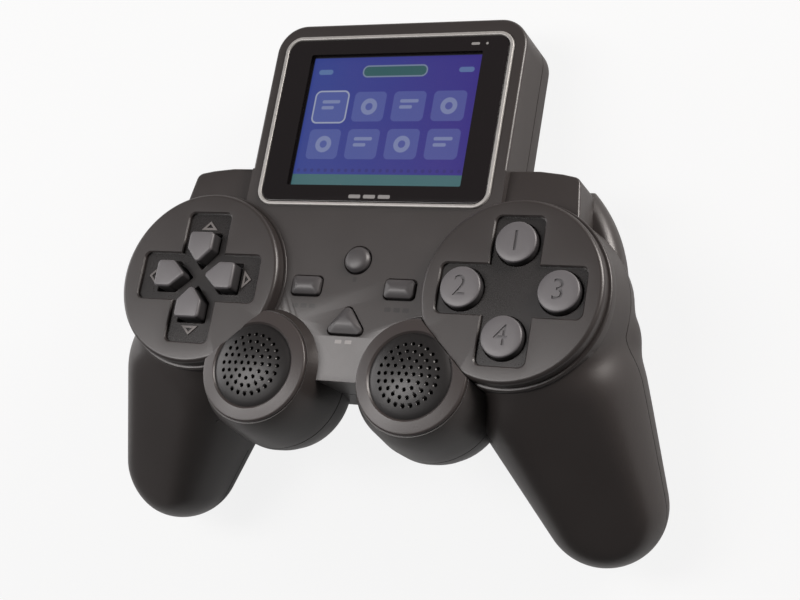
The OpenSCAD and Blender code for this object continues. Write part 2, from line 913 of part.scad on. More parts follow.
module direction_pad() {
    color("#464243") seated() translate([-disc_x, 0, 0]) {
        column(rocker_r, rocker_foot, rocker_top);
        at_direction_keys() translate([0, 0, rocker_foot]) linear_extrude(dpad_top - rocker_foot) house(0);
    }
}

module dpad_pivot() {
    color("#6a6668") seated() translate([-disc_x, 0, 0])
        column(pivot_r, disc_board_z + slide_gap, rocker_foot - slide_gap);
}

// A button rises from a flange that is trapped under the disc.
module face_button(angle) {
    flange_top = plate_z - slide_gap;
    place = button_at(angle);
    color("#464243") seated() translate([disc_x + place[0], place[1], 0]) {
        column(button_d/2, button_foot, button_top);
        column(button_d/2 + flange_out, flange_top - flange_t, flange_top);
    }
}

module face_button_right() {
    face_button(0);
}

module face_button_top() {
    face_button(90);
}

module face_button_left() {
    face_button(180);
}

module face_button_bottom() {
    face_button(270);
}

// A centre key: its own outline, on a wider flange that is trapped under the panel
module key_layers() {
    color("#464243") seated() translate([0, 0, key_foot]) {
        linear_extrude(key_rise - key_foot) children(0);
        linear_extrude(flange_t) children(1);
    }
}

module select_key() {
    key_layers() {
        select_outline(0);
        select_outline(flange_out);
    }
}

module start_key() {
    key_layers() {
        start_outline(0);
        start_outline(flange_out);
    }
}

module reset_key() {
    key_layers() {
        reset_outline(0);
        reset_outline(flange_out);
    }
}

module power_key() {
    key_layers() {
        power_outline(0);
        power_outline(flange_out);
    }
}

// Speakers

// A ring whose upper face falls a little towards its outer edge
module grille_ring() {
    outer = pod_rise - ring_fall;
    rotate_extrude() polygon([[dome_r, deck_z], [pod_r, deck_z], [pod_r, outer - ring_edge],
        [pod_r - ring_edge, outer], [dome_r + ring_edge, pod_rise], [dome_r, pod_rise - ring_edge]]);
}

// A thin cap of a ball whose edge lies inside the ring
module grille_dome() {
    ball = (dome_r*dome_r + dome_crown*dome_crown)/(2*dome_crown);
    crown = pod_rise - dome_sunk + dome_crown;
    intersection() {
        translate([0, 0, crown - ball]) difference() {
            sphere(ball);
            sphere(ball - dome_t);
        }
        column(dome_r + seat_gap, deck_z, crown + over);
    }
}

module sound_holes() {
    top = pod_rise + dome_crown + over;
    column(sound_hole_d/2, deck_z - over, top);
    for (ring = [1:sound_hole_rings]) for (i = [1:6*ring]) rotate([0, 0, 60*i/ring])
        translate([ring*sound_hole_step, 0, 0]) column(sound_hole_d/2, deck_z - over, top);
}

// Ring and perforated dome of the right-hand pod, moulded in one and trimmed where it meets the disc
module speaker_cap() {
    difference() {
        translate([pod_x, -pod_drop, 0]) difference() {
            union() {
                grille_ring();
                grille_dome();
            }
            sound_holes();
        }
        before_chord(seat_gap);
    }
}

module right_speaker_grille() {
    color("#2b2828") seated() speaker_cap();
}

module left_speaker_grille() {
    color("#2b2828") seated() mirror([1, 0, 0]) speaker_cap();
}

module speaker(x) {
    top = deck_z - wall;
    color("#222224") seated() translate([x*pod_x, -pod_drop, 0]) {
        column(speaker_r + speaker_flange, top - speaker_flange_t, top);
        column(speaker_r, top - speaker_basket_t, top);
        column(speaker_r - magnet_in, top - speaker_basket_t - magnet_t, top);
    }
}

module left_speaker() {
    speaker(-1);
}

module right_speaker() {
    speaker(1);
}

// Battery

module battery() {
    top = bay_floor - seat_gap;
    color("#3c4a5a") seated() translate([0, bay_low + bay_gap + contacts_t + battery_h/2, 0])
        slab(battery_w, battery_h, battery_r, top - battery_t, top);
}

// A carrier on the bay's wall with three sprung blades
module battery_contacts() {
    low = bay_floor - battery_t;
    color("#c9a648") seated() {
        span([-contacts_w/2, bay_low, low], [contacts_w/2, bay_low + contacts_t/2, bay_floor]);
        for (i = [-1:1]) translate([blade_pitch*i, bay_low, 0])
            span([-blade_w/2, 0, low + over], [blade_w/2, contacts_t, bay_floor - over]);
    }
}

// Sockets

module usb_socket() {
    half = usb_w/2;
    back = block_top - usb_sunk - usb_depth;
    color("#b9bbbd") seated() translate([usb_x, 0, 0]) difference() {
        span([-half, back, board_foot - usb_h], [half, block_top - usb_sunk, board_foot]);
        span([usb_skin - half, back + usb_skin, usb_skin + board_foot - usb_h],
            [half - usb_skin, block_top, board_foot - usb_skin]);
    }
}

module av_jack() {
    back = block_top - jack_depth - over;
    color("#1d1d1f") seated() difference() {
        union() {
            translate([jack_x, 0, jack_z]) span([-jack_side, back, -jack_side],
                [jack_side, block_top - wall - seat_gap, jack_side]);
            at_jack() column(jack_nose_r, jack_sunk, wall + over);
        }
        at_jack() column(jack_r, -over, jack_depth);
    }
}

// Fasteners

module case_screw(seat) {
    column(case_head_r, seat - case_head_t, seat);
    column(case_screw_d/2 - thread_gap, seat - case_head_t, seat + case_screw_l);
}

module case_screws() {
    color("#8d8f92") seated() {
        for (x = SIDES) for (s = case_screws_at) translate([x*s[0], s[1], 0]) case_screw(case_seat - s[2]);
        at_grip_screws() case_screw(grip_foot + case_seat);
    }
}

module board_screw(board) {
    head = board - board_t - board_head_t;
    column(board_head_r, head, board - board_t);
    column(board_screw_d/2 - thread_gap, head, board + board_screw_l);
}

module board_screws() {
    color("#a8aaad") seated() {
        at_disc_posts() board_screw(disc_board_z);
        at_centre_posts() board_screw(board_z);
    }
}

front_shell();
rear_shell();
screen_trim();
screen_lens();
lcd_panel();
lcd_frame();
lcd_ribbon();
main_board();
main_chip();
left_button_board();
right_button_board();
direction_pad();
dpad_pivot();
face_button_top();
face_button_left();
face_button_right();
face_button_bottom();
select_key();
start_key();
reset_key();
power_key();
dpad_membrane();
face_membrane();
centre_membrane();
left_speaker_grille();
right_speaker_grille();
left_speaker();
right_speaker();
battery();
battery_contacts();
battery_door();
usb_socket();
av_jack();
case_screws();
board_screws();
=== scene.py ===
import math

import bpy
from mathutils import Matrix, Vector


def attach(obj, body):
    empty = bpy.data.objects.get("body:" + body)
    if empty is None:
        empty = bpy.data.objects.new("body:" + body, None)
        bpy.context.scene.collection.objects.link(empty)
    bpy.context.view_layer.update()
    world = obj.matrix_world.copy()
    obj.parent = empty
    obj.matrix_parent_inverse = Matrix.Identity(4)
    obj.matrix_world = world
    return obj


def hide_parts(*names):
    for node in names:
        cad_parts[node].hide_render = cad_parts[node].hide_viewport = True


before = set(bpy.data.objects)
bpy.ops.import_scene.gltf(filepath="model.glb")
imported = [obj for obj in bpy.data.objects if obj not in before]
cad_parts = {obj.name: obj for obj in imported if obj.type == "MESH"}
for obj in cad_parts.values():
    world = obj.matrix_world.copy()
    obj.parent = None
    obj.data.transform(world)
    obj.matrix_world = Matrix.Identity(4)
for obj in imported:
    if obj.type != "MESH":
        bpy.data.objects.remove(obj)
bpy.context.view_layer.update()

# Shells of the case: two halves moulded in warm grey ABS that meet at a parting line, which runs level
# round the body and slopes down the grips. Discs, speaker pods, shoulders and the screen block are part
# of them, and the drum under each disc flows into its grip. Six screws hold the halves together.

# Sizes are in millimetres on the face: x to the right, y towards the screen, z out of the panel.
mm = 0.001
wall = 2.0
parting = 13.0
body_t = 25.0
body_top = 32.0
panel_low = 24.4
disc_x = 43.6
disc_r = 23.2
disc_rise = 3.8
drum_r = 25.0
pod_x = 21.8
pod_drop = 22.8
pod_r = 14.5
deck_z = 3.2
block_half = 36.2
block_low = 12.0
block_top = 73.7
block_t = 19.0
root = Vector((50.9, -17.8, -20.7))
tip = Vector((61.7, -42.2, -35.3))
root_r = 21.5
tip_r = 15.6

# A cutting tool passes the surface that it cuts by over. One that takes off a whole side goes out by reach.
over = 1.0
reach = 120.0

# The console lies on both grip tips and the screen block's rear edge, so its face leans back.
edge_run = Vector((block_top - tip.y, -tip.z - block_t))
rest_tilt = math.atan2(edge_run.y, edge_run.x) + math.asin(tip_r/edge_run.length)
rest_up = block_top*math.sin(rest_tilt) + block_t*math.cos(rest_tilt)
rest_front = tip.y*math.cos(rest_tilt) + tip.z*math.sin(rest_tilt) - tip_r
rest_back = block_top*math.cos(rest_tilt)
seat = (Matrix.Translation(Vector((0, -(rest_front + rest_back)/2, rest_up))*mm)
        @ Matrix.Rotation(-rest_tilt, 4, "X"))


def arc(x, y, r, start, end, steps):
    """Points along an arc, from one angle to another in degrees."""
    turn = [math.radians(start + (end - start)*i/steps) for i in range(steps + 1)]
    return [(x + r*math.cos(a), y + r*math.sin(a)) for a in turn]


def wire(name, points):
    """Draw a line through points in millimetres by extruding one vertex, and leave it in edit mode."""
    bpy.ops.object.select_all(action="DESELECT")
    bpy.ops.mesh.primitive_plane_add(size=mm)
    drawn = bpy.context.object
    drawn.name = name
    bpy.context.tool_settings.mesh_select_mode = (True, False, False)
    bpy.ops.object.mode_set(mode="EDIT")
    bpy.ops.mesh.merge(type="CENTER")
    bpy.ops.transform.translate(value=Vector(points[0])*mm)
    for here, there in zip(points, points[1:]):
        step = (Vector(there) - Vector(here))*mm
        bpy.ops.mesh.extrude_vertices_move(TRANSFORM_OT_translate={"value": step})
    bpy.ops.mesh.select_all(action="SELECT")
    return drawn


def close_solid():
    """Merge what meets, point all faces outwards and leave edit mode."""
    bpy.ops.mesh.select_all(action="SELECT")
    bpy.ops.mesh.remove_doubles(threshold=1e-6)
    bpy.ops.mesh.normals_make_consistent(inside=False)
    bpy.ops.object.mode_set(mode="OBJECT")


def lathe(name, outline, place=(0, 0, 0), steps=144):
    """Spin an outline of (radius, height) points round Z into a solid, and set it in its place."""
    solid = wire(name, [(r, 0, z) for r, z in outline])
    bpy.ops.mesh.spin(steps=steps, angle=math.tau, center=(0, 0, 0), axis=(0, 0, 1))
    close_solid()
    solid.data.transform(Matrix.Translation(Vector(place)*mm))
    return solid


def column(name, r, low, high, place=(0, 0), steps=48):
    """A round column from one height to another."""
    return lathe(name, [(0, low), (r, low), (r, high), (0, high)], (*place, 0), steps)


def prism(name, points, run):
    """Fill a flat outline of points and extrude it along a run."""
    solid = wire(name, points)
    bpy.ops.mesh.edge_face_add()
    bpy.ops.mesh.extrude_region_move(TRANSFORM_OT_translate={"value": Vector(run)*mm})
    close_solid()
    return solid


def plate(name, outline, low, high):
    """Extrude a flat outline of (x, y) points from one height to another."""
    return prism(name, [(x, y, low) for x, y in outline], (0, 0, high - low))


def box(name, low, high):
    """A box between two corners."""
    (x0, y0, z0), (x1, y1, z1) = low, high
    return plate(name, [(x0, y0), (x1, y0), (x1, y1), (x0, y1)], z0, z1)


def rounded(w, h, r, x=0, y=0, steps=10):
    """The outline of a rectangle with round corners, about a middle point."""
    corners = [(1, -1, -90), (1, 1, 0), (-1, 1, 90), (-1, -1, 180)]
    return [p for sx, sy, a in corners
            for p in arc(x + sx*(w/2 - r), y + sy*(h/2 - r), r, a, a + 90, steps)]


def pick(solid, mode, rule):
    """Open a solid in edit mode with only those faces or edges selected whose corners all meet a rule."""
    mesh = solid.data
    bpy.ops.object.select_all(action="DESELECT")
    bpy.context.view_layer.objects.active = solid
    solid.select_set(True)
    bpy.context.tool_settings.mesh_select_mode = (False, mode == "edges", mode == "polygons")
    for group in (mesh.vertices, mesh.edges, mesh.polygons):
        group.foreach_set("select", [False]*len(group))
    for part in getattr(mesh, mode):
        part.select = all(rule(mesh.vertices[i].co/mm) for i in part.vertices)
    bpy.ops.object.mode_set(mode="EDIT")


def at_height(height):
    """The rule that a corner lies at one height, to within a thousandth."""
    return lambda corner: abs(corner.z - height) < 1e-3


def round_edges(solid, height, radius, steps=4):
    """Round off all edges that lie at one height."""
    pick(solid, "edges", at_height(height))
    bpy.ops.mesh.bevel(offset=radius*mm, segments=steps, affect="EDGES", clamp_overlap=False)
    bpy.ops.object.mode_set(mode="OBJECT")


def draw_top(solid, height, rise, out):
    """Draw the flat top at one height further up, and let it grow outwards on each side."""
    on_top = at_height(height)
    top = [v.co for v in solid.data.vertices if on_top(v.co/mm)]
    low = Vector([min(p[i] for p in top) for i in range(3)])
    high = Vector([max(p[i] for p in top) for i in range(3)])
    grow = [1 + 2*out*mm/(high - low)[i] for i in range(2)]
    pick(solid, "polygons", on_top)
    bpy.ops.mesh.extrude_region_move(TRANSFORM_OT_translate={"value": (0, 0, rise*mm)})
    bpy.ops.transform.resize(value=(*grow, 1), center_override=(low + high)/2)
    bpy.ops.object.mode_set(mode="OBJECT")
    return solid


def carve(solid, tool, how="DIFFERENCE"):
    """Cut a tool out of a solid, join it on or keep what both share; the tool is used up."""
    step = solid.modifiers.new(how, "BOOLEAN")
    step.object = tool
    step.operation = how
    step.solver = "MANIFOLD"
    bpy.context.view_layer.objects.active = solid
    bpy.ops.object.modifier_apply(modifier=step.name)
    bpy.data.objects.remove(tool)
    return solid


def cut(solid, *tools):
    """Cut several tools out of a solid."""
    for tool in tools:
        carve(solid, tool)
    return solid


def join(solid, *others):
    """Join other solids onto one."""
    for other in others:
        carve(solid, other, "UNION")
    return solid


def copy(solid, move=Matrix.Identity(4)):
    """A copy of a solid with a mesh of its own, moved."""
    twin = bpy.data.objects.new(solid.name, solid.data.copy())
    bpy.context.collection.objects.link(twin)
    twin.data.transform(move)
    return twin


def mirrored(solid):
    """A copy of a solid on the other side of the middle."""
    twin = copy(solid, Matrix.Scale(-1, 4, (1, 0, 0)))
    twin.data.flip_normals()
    return twin


def both_sides(solid):
    """A solid and its mirrored copy."""
    return solid, mirrored(solid)


def quarter_turns(solid, x):
    """A solid and three copies, turned in quarters about a disc's centre."""
    centre_at = Matrix.Translation((x*mm, 0, 0))
    turns = [centre_at @ Matrix.Rotation(math.radians(90*i), 4, "Z") @ centre_at.inverted()
             for i in (1, 2, 3)]
    return (solid, *[copy(solid, turn) for turn in turns])


drum_lift = 0.6
drum_edge = 5.0
drum_draft = 0.6
neck_low = 0.6
neck_out = 0.4
neck_in = 0.2
disc_skin = 1.0


def drum(inset):
    """The round body under a disc, up to the disc's foot."""
    foot = drum_lift - body_t + inset
    waist = drum_r - inset
    top = 0 if inset == 0 else disc_rise - disc_skin - wall
    outline = [(0, foot), (waist - drum_edge, foot), (waist - drum_draft, foot + drum_edge),
               (waist, -parting), (disc_r + neck_out - inset, -neck_low), (disc_r - neck_in - inset, top),
               (0, top)]
    return lathe("drum", outline, (disc_x, 0, 0))


# The upper side of a grip is nearly flat: what stands over this plane is pressed softly down onto it.
flat_at = Vector((50, -23.2, -0.6))
flat_way = Vector((0.259, -0.587, 0.768)).normalized()
flat_soft = 0.8
cone_steps = 8


def grip(inset):
    """A grip: the balls at its root and tip, wrapped by a cone whose upper side is softly flattened."""
    run = tip - root
    lean = math.degrees(math.asin((root_r - tip_r)/run.length))
    from_root = Vector((root_r - inset, 0))
    to_tip = Vector((tip_r - inset, run.length))
    cone = [from_root.lerp(to_tip, i/cone_steps) for i in range(1, cone_steps)]
    outline = arc(0, 0, root_r - inset, -90, lean, 24)
    outline += [(p.x/math.cos(math.radians(lean)), p.y) for p in cone]
    outline += arc(0, run.length, tip_r - inset, lean, 90, 20)
    solid = lathe("grip", outline, steps=96)
    solid.data.transform(Matrix.Translation(root*mm) @ run.to_track_quat("Z", "Y").to_matrix().to_4x4())
    for vertex in solid.data.vertices:
        above = (vertex.co/mm - flat_at).dot(flat_way) + inset
        vertex.co -= flat_way*flat_soft*math.log1p(math.exp(above/flat_soft))*mm
    return solid


# A ball fills the waist between a drum and its grip.
waist_at = (56.5, -5, -20.5)
waist_r = 13.2
voxel = 0.6
crease_reach = 10
least_smooth = 0.04


def handle():
    """A drum and its grip as one soft form: the crease between them is remeshed and smoothed away."""
    waist = lathe("waist", arc(0, 0, waist_r, -90, 90, 24), waist_at)
    solid = join(drum(0), grip(0), waist)
    remesh = solid.modifiers.new("remesh", "REMESH")
    remesh.mode = "VOXEL"
    remesh.voxel_size = voxel*mm
    bpy.context.view_layer.objects.active = solid
    bpy.ops.object.modifier_apply(modifier="remesh")
    run = tip - root
    crease = solid.vertex_groups.new(name="crease")
    for vertex in solid.data.vertices:
        p = vertex.co/mm
        share = min(1, max(0, (p - root).dot(run)/run.length_squared))
        from_grip = abs((p - root - share*run).length - root_r - share*(tip_r - root_r))
        from_drum = abs(math.hypot(p.x - disc_x, p.y) - drum_r)
        crease.add([vertex.index], max(least_smooth, 1 - (from_grip + from_drum)/crease_reach), "REPLACE")
    smooth = solid.modifiers.new("smooth", "SMOOTH")
    smooth.vertex_group = "crease"
    smooth.factor = 0.6
    smooth.iterations = 120
    bpy.ops.object.modifier_apply(modifier="smooth")
    return solid


# A pod from its foot up: how far each step stands in from the belt, and its height over the foot or
# over the parting line.
belt_r = 17.4
pod_lift = 1.0
pod_foot = ((5.2, 0), (3.6, 0.8))
pod_wall = ((1.6, -8), (0.6, -5), (0, -2), (0, 3), (0.5, 7))
pod_neck = 1.7
pod_lip = 0.3


def pod(inset):
    """The round body under a speaker ring."""
    foot = pod_lift - body_t + inset
    belt = belt_r - inset
    top = deck_z if inset == 0 else deck_z - wall
    outline = [(0, foot)]
    outline += [(belt - inward, foot + up) for inward, up in pod_foot]
    outline += [(belt - inward, up - parting) for inward, up in pod_wall]
    outline += [(pod_r + pod_neck - inset, 0), (pod_r + pod_lip - inset, top), (0, top)]
    return lathe("pod", outline, (pod_x, -pod_drop, 0))


def soft_corners(points, r, steps=5):
    """An outline of straight lines with every corner rounded by one radius."""
    soft = []
    for i, corner in enumerate(points):
        at = Vector(corner)
        back = (Vector(points[i - 1]) - at).normalized()
        on = (Vector(points[(i + 1) % len(points)]) - at).normalized()
        between = back.angle(on)
        middle = at + (back + on).normalized()*r/math.sin(between/2)
        start = at + back*r/math.tan(between/2) - middle
        sweep = start.angle_signed(at + on*r/math.tan(between/2) - middle)
        for step in range(steps + 1):
            turned = start.copy()
            turned.rotate(Matrix.Rotation(-sweep*step/steps, 2))
            soft.append(tuple(middle + turned))
    return soft


# A shoulder's arched rear edge, from its outer corner inwards: how far in, and how far short of the end.
shoulder_arch = ((1.8, 1.7), (6.5, 0.7), (12.5, 0))
shoulder_x = 56.5
shoulder_y = 33.0
shoulder_low = 4.0
shoulder_reach = 18.0
shoulder_inner = disc_x - shoulder_reach
shoulder_drop = 2.0
shoulder_foot = 22.6
shoulder_splay = 2.0
shoulder_corner = 2.2
shoulder_edge = 0.6
shoulder_fall = 0.07
swell_at = (21.75, 3.5)
swell_r = 43.6
swell_end = 42
swell_edge = 4.2
swell_lift = 0.6
swell_foot_edge = 2.0
room_r = 4.0


def shoulder():
    """The step behind a disc that ends the body beside the screen, over a rear half that swells out."""
    face = [(shoulder_inner, shoulder_low), (shoulder_x + shoulder_splay, shoulder_low)]
    face += [(shoulder_x - inward, shoulder_y - short) for inward, short in shoulder_arch]
    face.append((shoulder_inner, shoulder_y))
    step = plate("shoulder", soft_corners(face, shoulder_corner), -shoulder_foot, -shoulder_drop)
    round_edges(step, -shoulder_drop, shoulder_edge)
    for vertex in step.data.vertices:
        if vertex.co.z > -parting*mm:
            vertex.co.z -= shoulder_fall*(vertex.co.y - disc_r*mm)
    swell = arc(*swell_at, swell_r, 0, swell_end, 20)
    outline = [(shoulder_inner, shoulder_low), *swell, (shoulder_inner, swell[-1][1])]
    foot = swell_lift - shoulder_foot
    rear_half = plate("swell", outline, foot, -parting)
    round_edges(rear_half, foot, swell_foot_edge)
    round_edges(rear_half, -parting, swell_edge, 8)
    return join(step, rear_half)


def shoulder_room():
    """The hollow inside a shoulder."""
    outline = rounded(shoulder_x - shoulder_inner - 2*wall, shoulder_y - shoulder_low - 2*wall, room_r,
                      (shoulder_x + shoulder_inner)/2, (shoulder_y + shoulder_low)/2)
    return plate("room", outline, wall - shoulder_foot, -shoulder_drop - wall)


block_r = 8.0
block_edge = 0.9
block_rear_edge = 1.4


def block(inset):
    """The screen block."""
    outline = rounded(2*(block_half - inset), block_top - block_low - 2*inset, block_r - inset,
                      0, (block_top + block_low)/2, 14)
    solid = plate("block", outline, inset - block_t, -inset)
    if inset == 0:
        round_edges(solid, 0, block_edge)
        round_edges(solid, -block_t, block_rear_edge)
    return solid


def centre(inset):
    """The flat middle of the body."""
    half = block_half - inset
    return box("centre", (-half, inset - panel_low, inset - body_t), (half, body_top - inset, -inset))


disc_sunk = 3.0
disc_rim = 1.1
ledge_out = 0.4
ledge_r = 0.5
ledge_top = 0.2


def disc():
    """The raised disc on a drum, with a soft rim and a small ledge at its foot."""
    outline = [(0, -disc_sunk), (disc_r + ledge_out + ledge_r, -disc_sunk),
               *arc(disc_r + ledge_out, ledge_top - ledge_r, ledge_r, 0, 90, 3), (disc_r, ledge_top),
               *arc(disc_r - disc_rim, disc_rise - disc_rim, disc_rim, 0, 90, 6), (0, disc_rise)]
    return lathe("disc", outline, (disc_x, 0, 0), 192)


# A disc and the ring beside it meet along the chord that their two circles share.
chord_run = Vector((disc_x - pod_x, pod_drop))
chord_at = (chord_run.length_squared + disc_r**2 - pod_r**2)/(2*chord_run.length)
chord_turn = (Matrix.Translation((disc_x*mm, 0, 0))
              @ Matrix.Rotation(math.atan2(chord_run.y, chord_run.x), 4, "Z"))


def beyond_chord():
    """What lies above the panel on the pod's side of the chord."""
    side = box("beyond", (-reach, -reach, 0), (-chord_at, reach, reach))
    side.data.transform(chord_turn)
    return side


def before_chord(gap):
    """What lies on the disc's side of the chord, and a gap more."""
    side = box("before", (-chord_at - gap, -reach, -reach), (reach, reach, reach))
    side.data.transform(chord_turn)
    return side


# The parting line bends down where it comes to a grip, and runs along the middle of it.
grip_slope = (root.z - tip.z)/(root.y - tip.y)
seam_lift = 0.3
seam_bend = tip.y - (tip.z + seam_lift + parting)/grip_slope
seam_x = 40.0


def front_region(lift=0):
    """All that belongs to the front shell: above the parting line, which slopes down the grips."""
    low = lift - parting
    level = box("level", (-reach, -reach, low), (reach, reach, reach))
    drop = grip_slope*(reach + seam_bend)
    wedge = [(seam_bend, low), (seam_bend, low + over), (-reach, low + over), (-reach, low - drop)]
    slope = prism("slope", [(seam_x, y, z) for y, z in wedge], (reach, 0, 0))
    return join(level, *both_sides(slope))


outside = join(handle(), carve(disc(), beyond_chord()), carve(pod(0), before_chord(0)), shoulder())
form = join(centre(0), block(0), *both_sides(outside))
inside = join(drum(wall), carve(pod(wall), before_chord(wall/2)), grip(wall), shoulder_room())
hollow = join(centre(wall), block(wall), *both_sides(inside))

# The shadow line along the parting: a thin groove that goes a little way into the form.
groove_w = 0.3
groove_depth = 0.4
core = copy(form)
shrink = core.modifiers.new("shrink", "DISPLACE")
shrink.strength = -groove_depth*mm
shrink.mid_level = 0
bpy.context.view_layer.objects.active = core
bpy.ops.object.modifier_apply(modifier="shrink")
groove = cut(front_region(-groove_w/2), front_region(groove_w/2), core)

front = cut(carve(copy(form), front_region(), "INTERSECT"), copy(hollow), copy(groove))
rear = cut(form, front_region(), hollow, groove)

# Screw posts inside the halves: x, y and the depth of the rear face for two pairs, and a pair in the grips
boss_r = 3.0
case_screw_r = 1.0
case_head_r = 2.3
case_seat = 4.0
pass_gap = 0.3
pass_r = case_screw_r + pass_gap
mouth_r = case_head_r + pass_gap
case_screws_at = [(31.6, 66.7, block_t), (32.85, 24.7, body_t)]
screw_up_grip = 0.46
grip_screw = tip + screw_up_grip*(root - tip)
grip_seam = tip.z + seam_lift + (grip_screw.y - tip.y)*grip_slope
grip_foot = grip_seam - tip_r
grip_thread = 9
mouth_run = 20
front_posts = []
rear_posts = []
front_cuts = []
rear_cuts = []
for x, y, depth in case_screws_at:
    front_posts += both_sides(column("post", boss_r, -parting, -wall/2, (x, y)))
    rear_posts += both_sides(column("post", boss_r, wall/2 - depth, -parting, (x, y)))
    front_cuts += both_sides(column("thread", case_screw_r, -parting - over, -wall - over, (x, y)))
    rear_cuts += both_sides(column("pass", pass_r, -depth - over, 0, (x, y)))
    rear_cuts += both_sides(column("mouth", mouth_r, -depth - over, case_seat - depth, (x, y)))
at = grip_screw.xy
grip_post = carve(column("post", boss_r, grip_foot - over, 0, at), grip(wall/2), "INTERSECT")
front_posts += both_sides(carve(copy(grip_post), front_region(), "INTERSECT"))
rear_posts += both_sides(cut(grip_post, front_region()))
front_cuts += both_sides(column("thread", case_screw_r, grip_seam - 2*boss_r, grip_seam + grip_thread, at))
rear_cuts += both_sides(column("pass", pass_r, grip_foot - over, 0, at))
rear_cuts += both_sides(column("mouth", mouth_r, grip_foot - mouth_run, grip_foot + case_seat, at))

# Posts that carry the button boards under the discs and the main board under the panel
board_post_r = 2.2
board_screw_r = 0.8
disc_board_z = -4.3
disc_post = 11.53
disc_thread = -0.2
board_z = -6.5
board_posts_at = [(-14.6, 14.4), (14.6, 14.4), (0, -17.4)]
for side in (-1, 1):
    for place in (disc_post, -disc_post):
        at = (side*disc_x + place, place)
        front_posts.append(column("post", board_post_r, disc_board_z, disc_rise - wall, at))
        front_cuts.append(column("thread", board_screw_r, disc_board_z - over, disc_thread, at))
for at in board_posts_at:
    front_posts.append(column("post", board_post_r, board_z, -wall/2, at))
    front_cuts.append(column("thread", board_screw_r, board_z - over, -wall - over, at))

# Each disc has a cross-shaped recess with softened edges, and key holes in its floor.
recess_z = 2.8
dpad_cross = 35.5
face_cross = 37.5
cross_w = 12.8
cross_r = 1.8
edge_soft = 0.3
for x, length in ((-disc_x, dpad_cross), (disc_x, face_cross)):
    for w, h in ((length, cross_w), (cross_w, length)):
        arm = plate("arm", rounded(w, h, cross_r, x), recess_z, disc_rise - edge_soft)
        front_cuts.append(draw_top(arm, disc_rise - edge_soft, 2*edge_soft, 2*edge_soft))
slide_gap = 0.3
hole_soft = 0.2
button_pitch = 11.8
button_side = 12.5
button_r = 5.2
buttons_at = {"top": (disc_x, button_pitch), "left": (disc_x - button_side, 0),
              "right": (disc_x + button_side, 0), "bottom": (disc_x, -button_pitch)}
for at in buttons_at.values():
    hole = column("hole", button_r + slide_gap, -over, recess_z - hole_soft, at, 72)
    front_cuts.append(draw_top(hole, recess_z - hole_soft, 2*hole_soft, 2*hole_soft))
key_w = 7.2
key_tip = 3.0
key_shoulder = 7.0
key_end = 11.7
tilt_gap = 0.55
hole_corner = 0.4


def key_outline(grow, corner):
    """The outline of the pad's right-hand key: a square end and a point towards the middle."""
    w = key_w/2 + grow
    slant = math.atan2(key_w/2, key_shoulder - key_tip)
    point = key_tip - grow/math.sin(slant)
    eaves = point + w/math.tan(slant)
    house = [(point, 0), (eaves, -w), (key_end + grow, -w), (key_end + grow, w), (eaves, w)]
    return [(x - disc_x, y) for x, y in soft_corners(house, corner)]


hole = plate("hole", key_outline(tilt_gap, hole_corner), -over, recess_z - hole_soft)
draw_top(hole, recess_z - hole_soft, 2*hole_soft, 2*hole_soft)
front_cuts += quarter_turns(hole, -disc_x)

# Small raised arrows near the ends of the left recess, each an outline
arrow_at = 13.2
arrow_half = 2.4
arrow_line = 0.55
arrow_within = 1.08
arrow_rise = 0.3


def arrowhead(name, base, half, low, high):
    """A three-cornered plate on the left disc that points to the right."""
    x = base - disc_x
    return plate(name, [(x, -half), (x, half), (x + half, 0)], low, high)


arrow = arrowhead("arrow", arrow_at, arrow_half, recess_z - over, recess_z + arrow_rise)
cut(arrow, arrowhead("within", arrow_at + arrow_line, arrow_within, recess_z, recess_z + over))
arrows = quarter_turns(arrow, -disc_x)

# Holes of the four centre keys in the panel
oblong_x = 13.1
oblong_w = 8.0
oblong_h = 4.8
oblong_r = 1.0
reset_y = 7.3
reset_r = 3.4
power_drop = 8.8
power_w = 9.3
power_h = 6.9
power_r = 1.2


def oblong_outline(grow):
    """The outline of the right oblong key."""
    return rounded(oblong_w + 2*grow, oblong_h + 2*grow, oblong_r + grow, oblong_x)


def power_outline(grow):
    """The outline of the three-cornered key, whose corner centres stay in place as it grows."""
    x = power_w/2 - power_r
    y = power_h/2 - power_r
    lean = math.degrees(math.atan2(x, 2*y))
    corners = [(x, -y, -90, lean), (0, y, lean, 180 - lean), (-x, -y, 180 - lean, 270)]
    return [(px, py - power_drop) for cx, cy, start, end in corners
            for px, py in arc(cx, cy, power_r + grow, start, end, 8)]


key_holes = [plate("hole", oblong_outline(slide_gap), -wall - over, -hole_soft),
             plate("hole", power_outline(slide_gap), -wall - over, -hole_soft),
             column("hole", reset_r + slide_gap, -wall - over, -hole_soft, (0, reset_y), 72)]
for hole in key_holes:
    draw_top(hole, -hole_soft, 2*hole_soft, 2*hole_soft)
front_cuts += [mirrored(key_holes[0]), *key_holes]

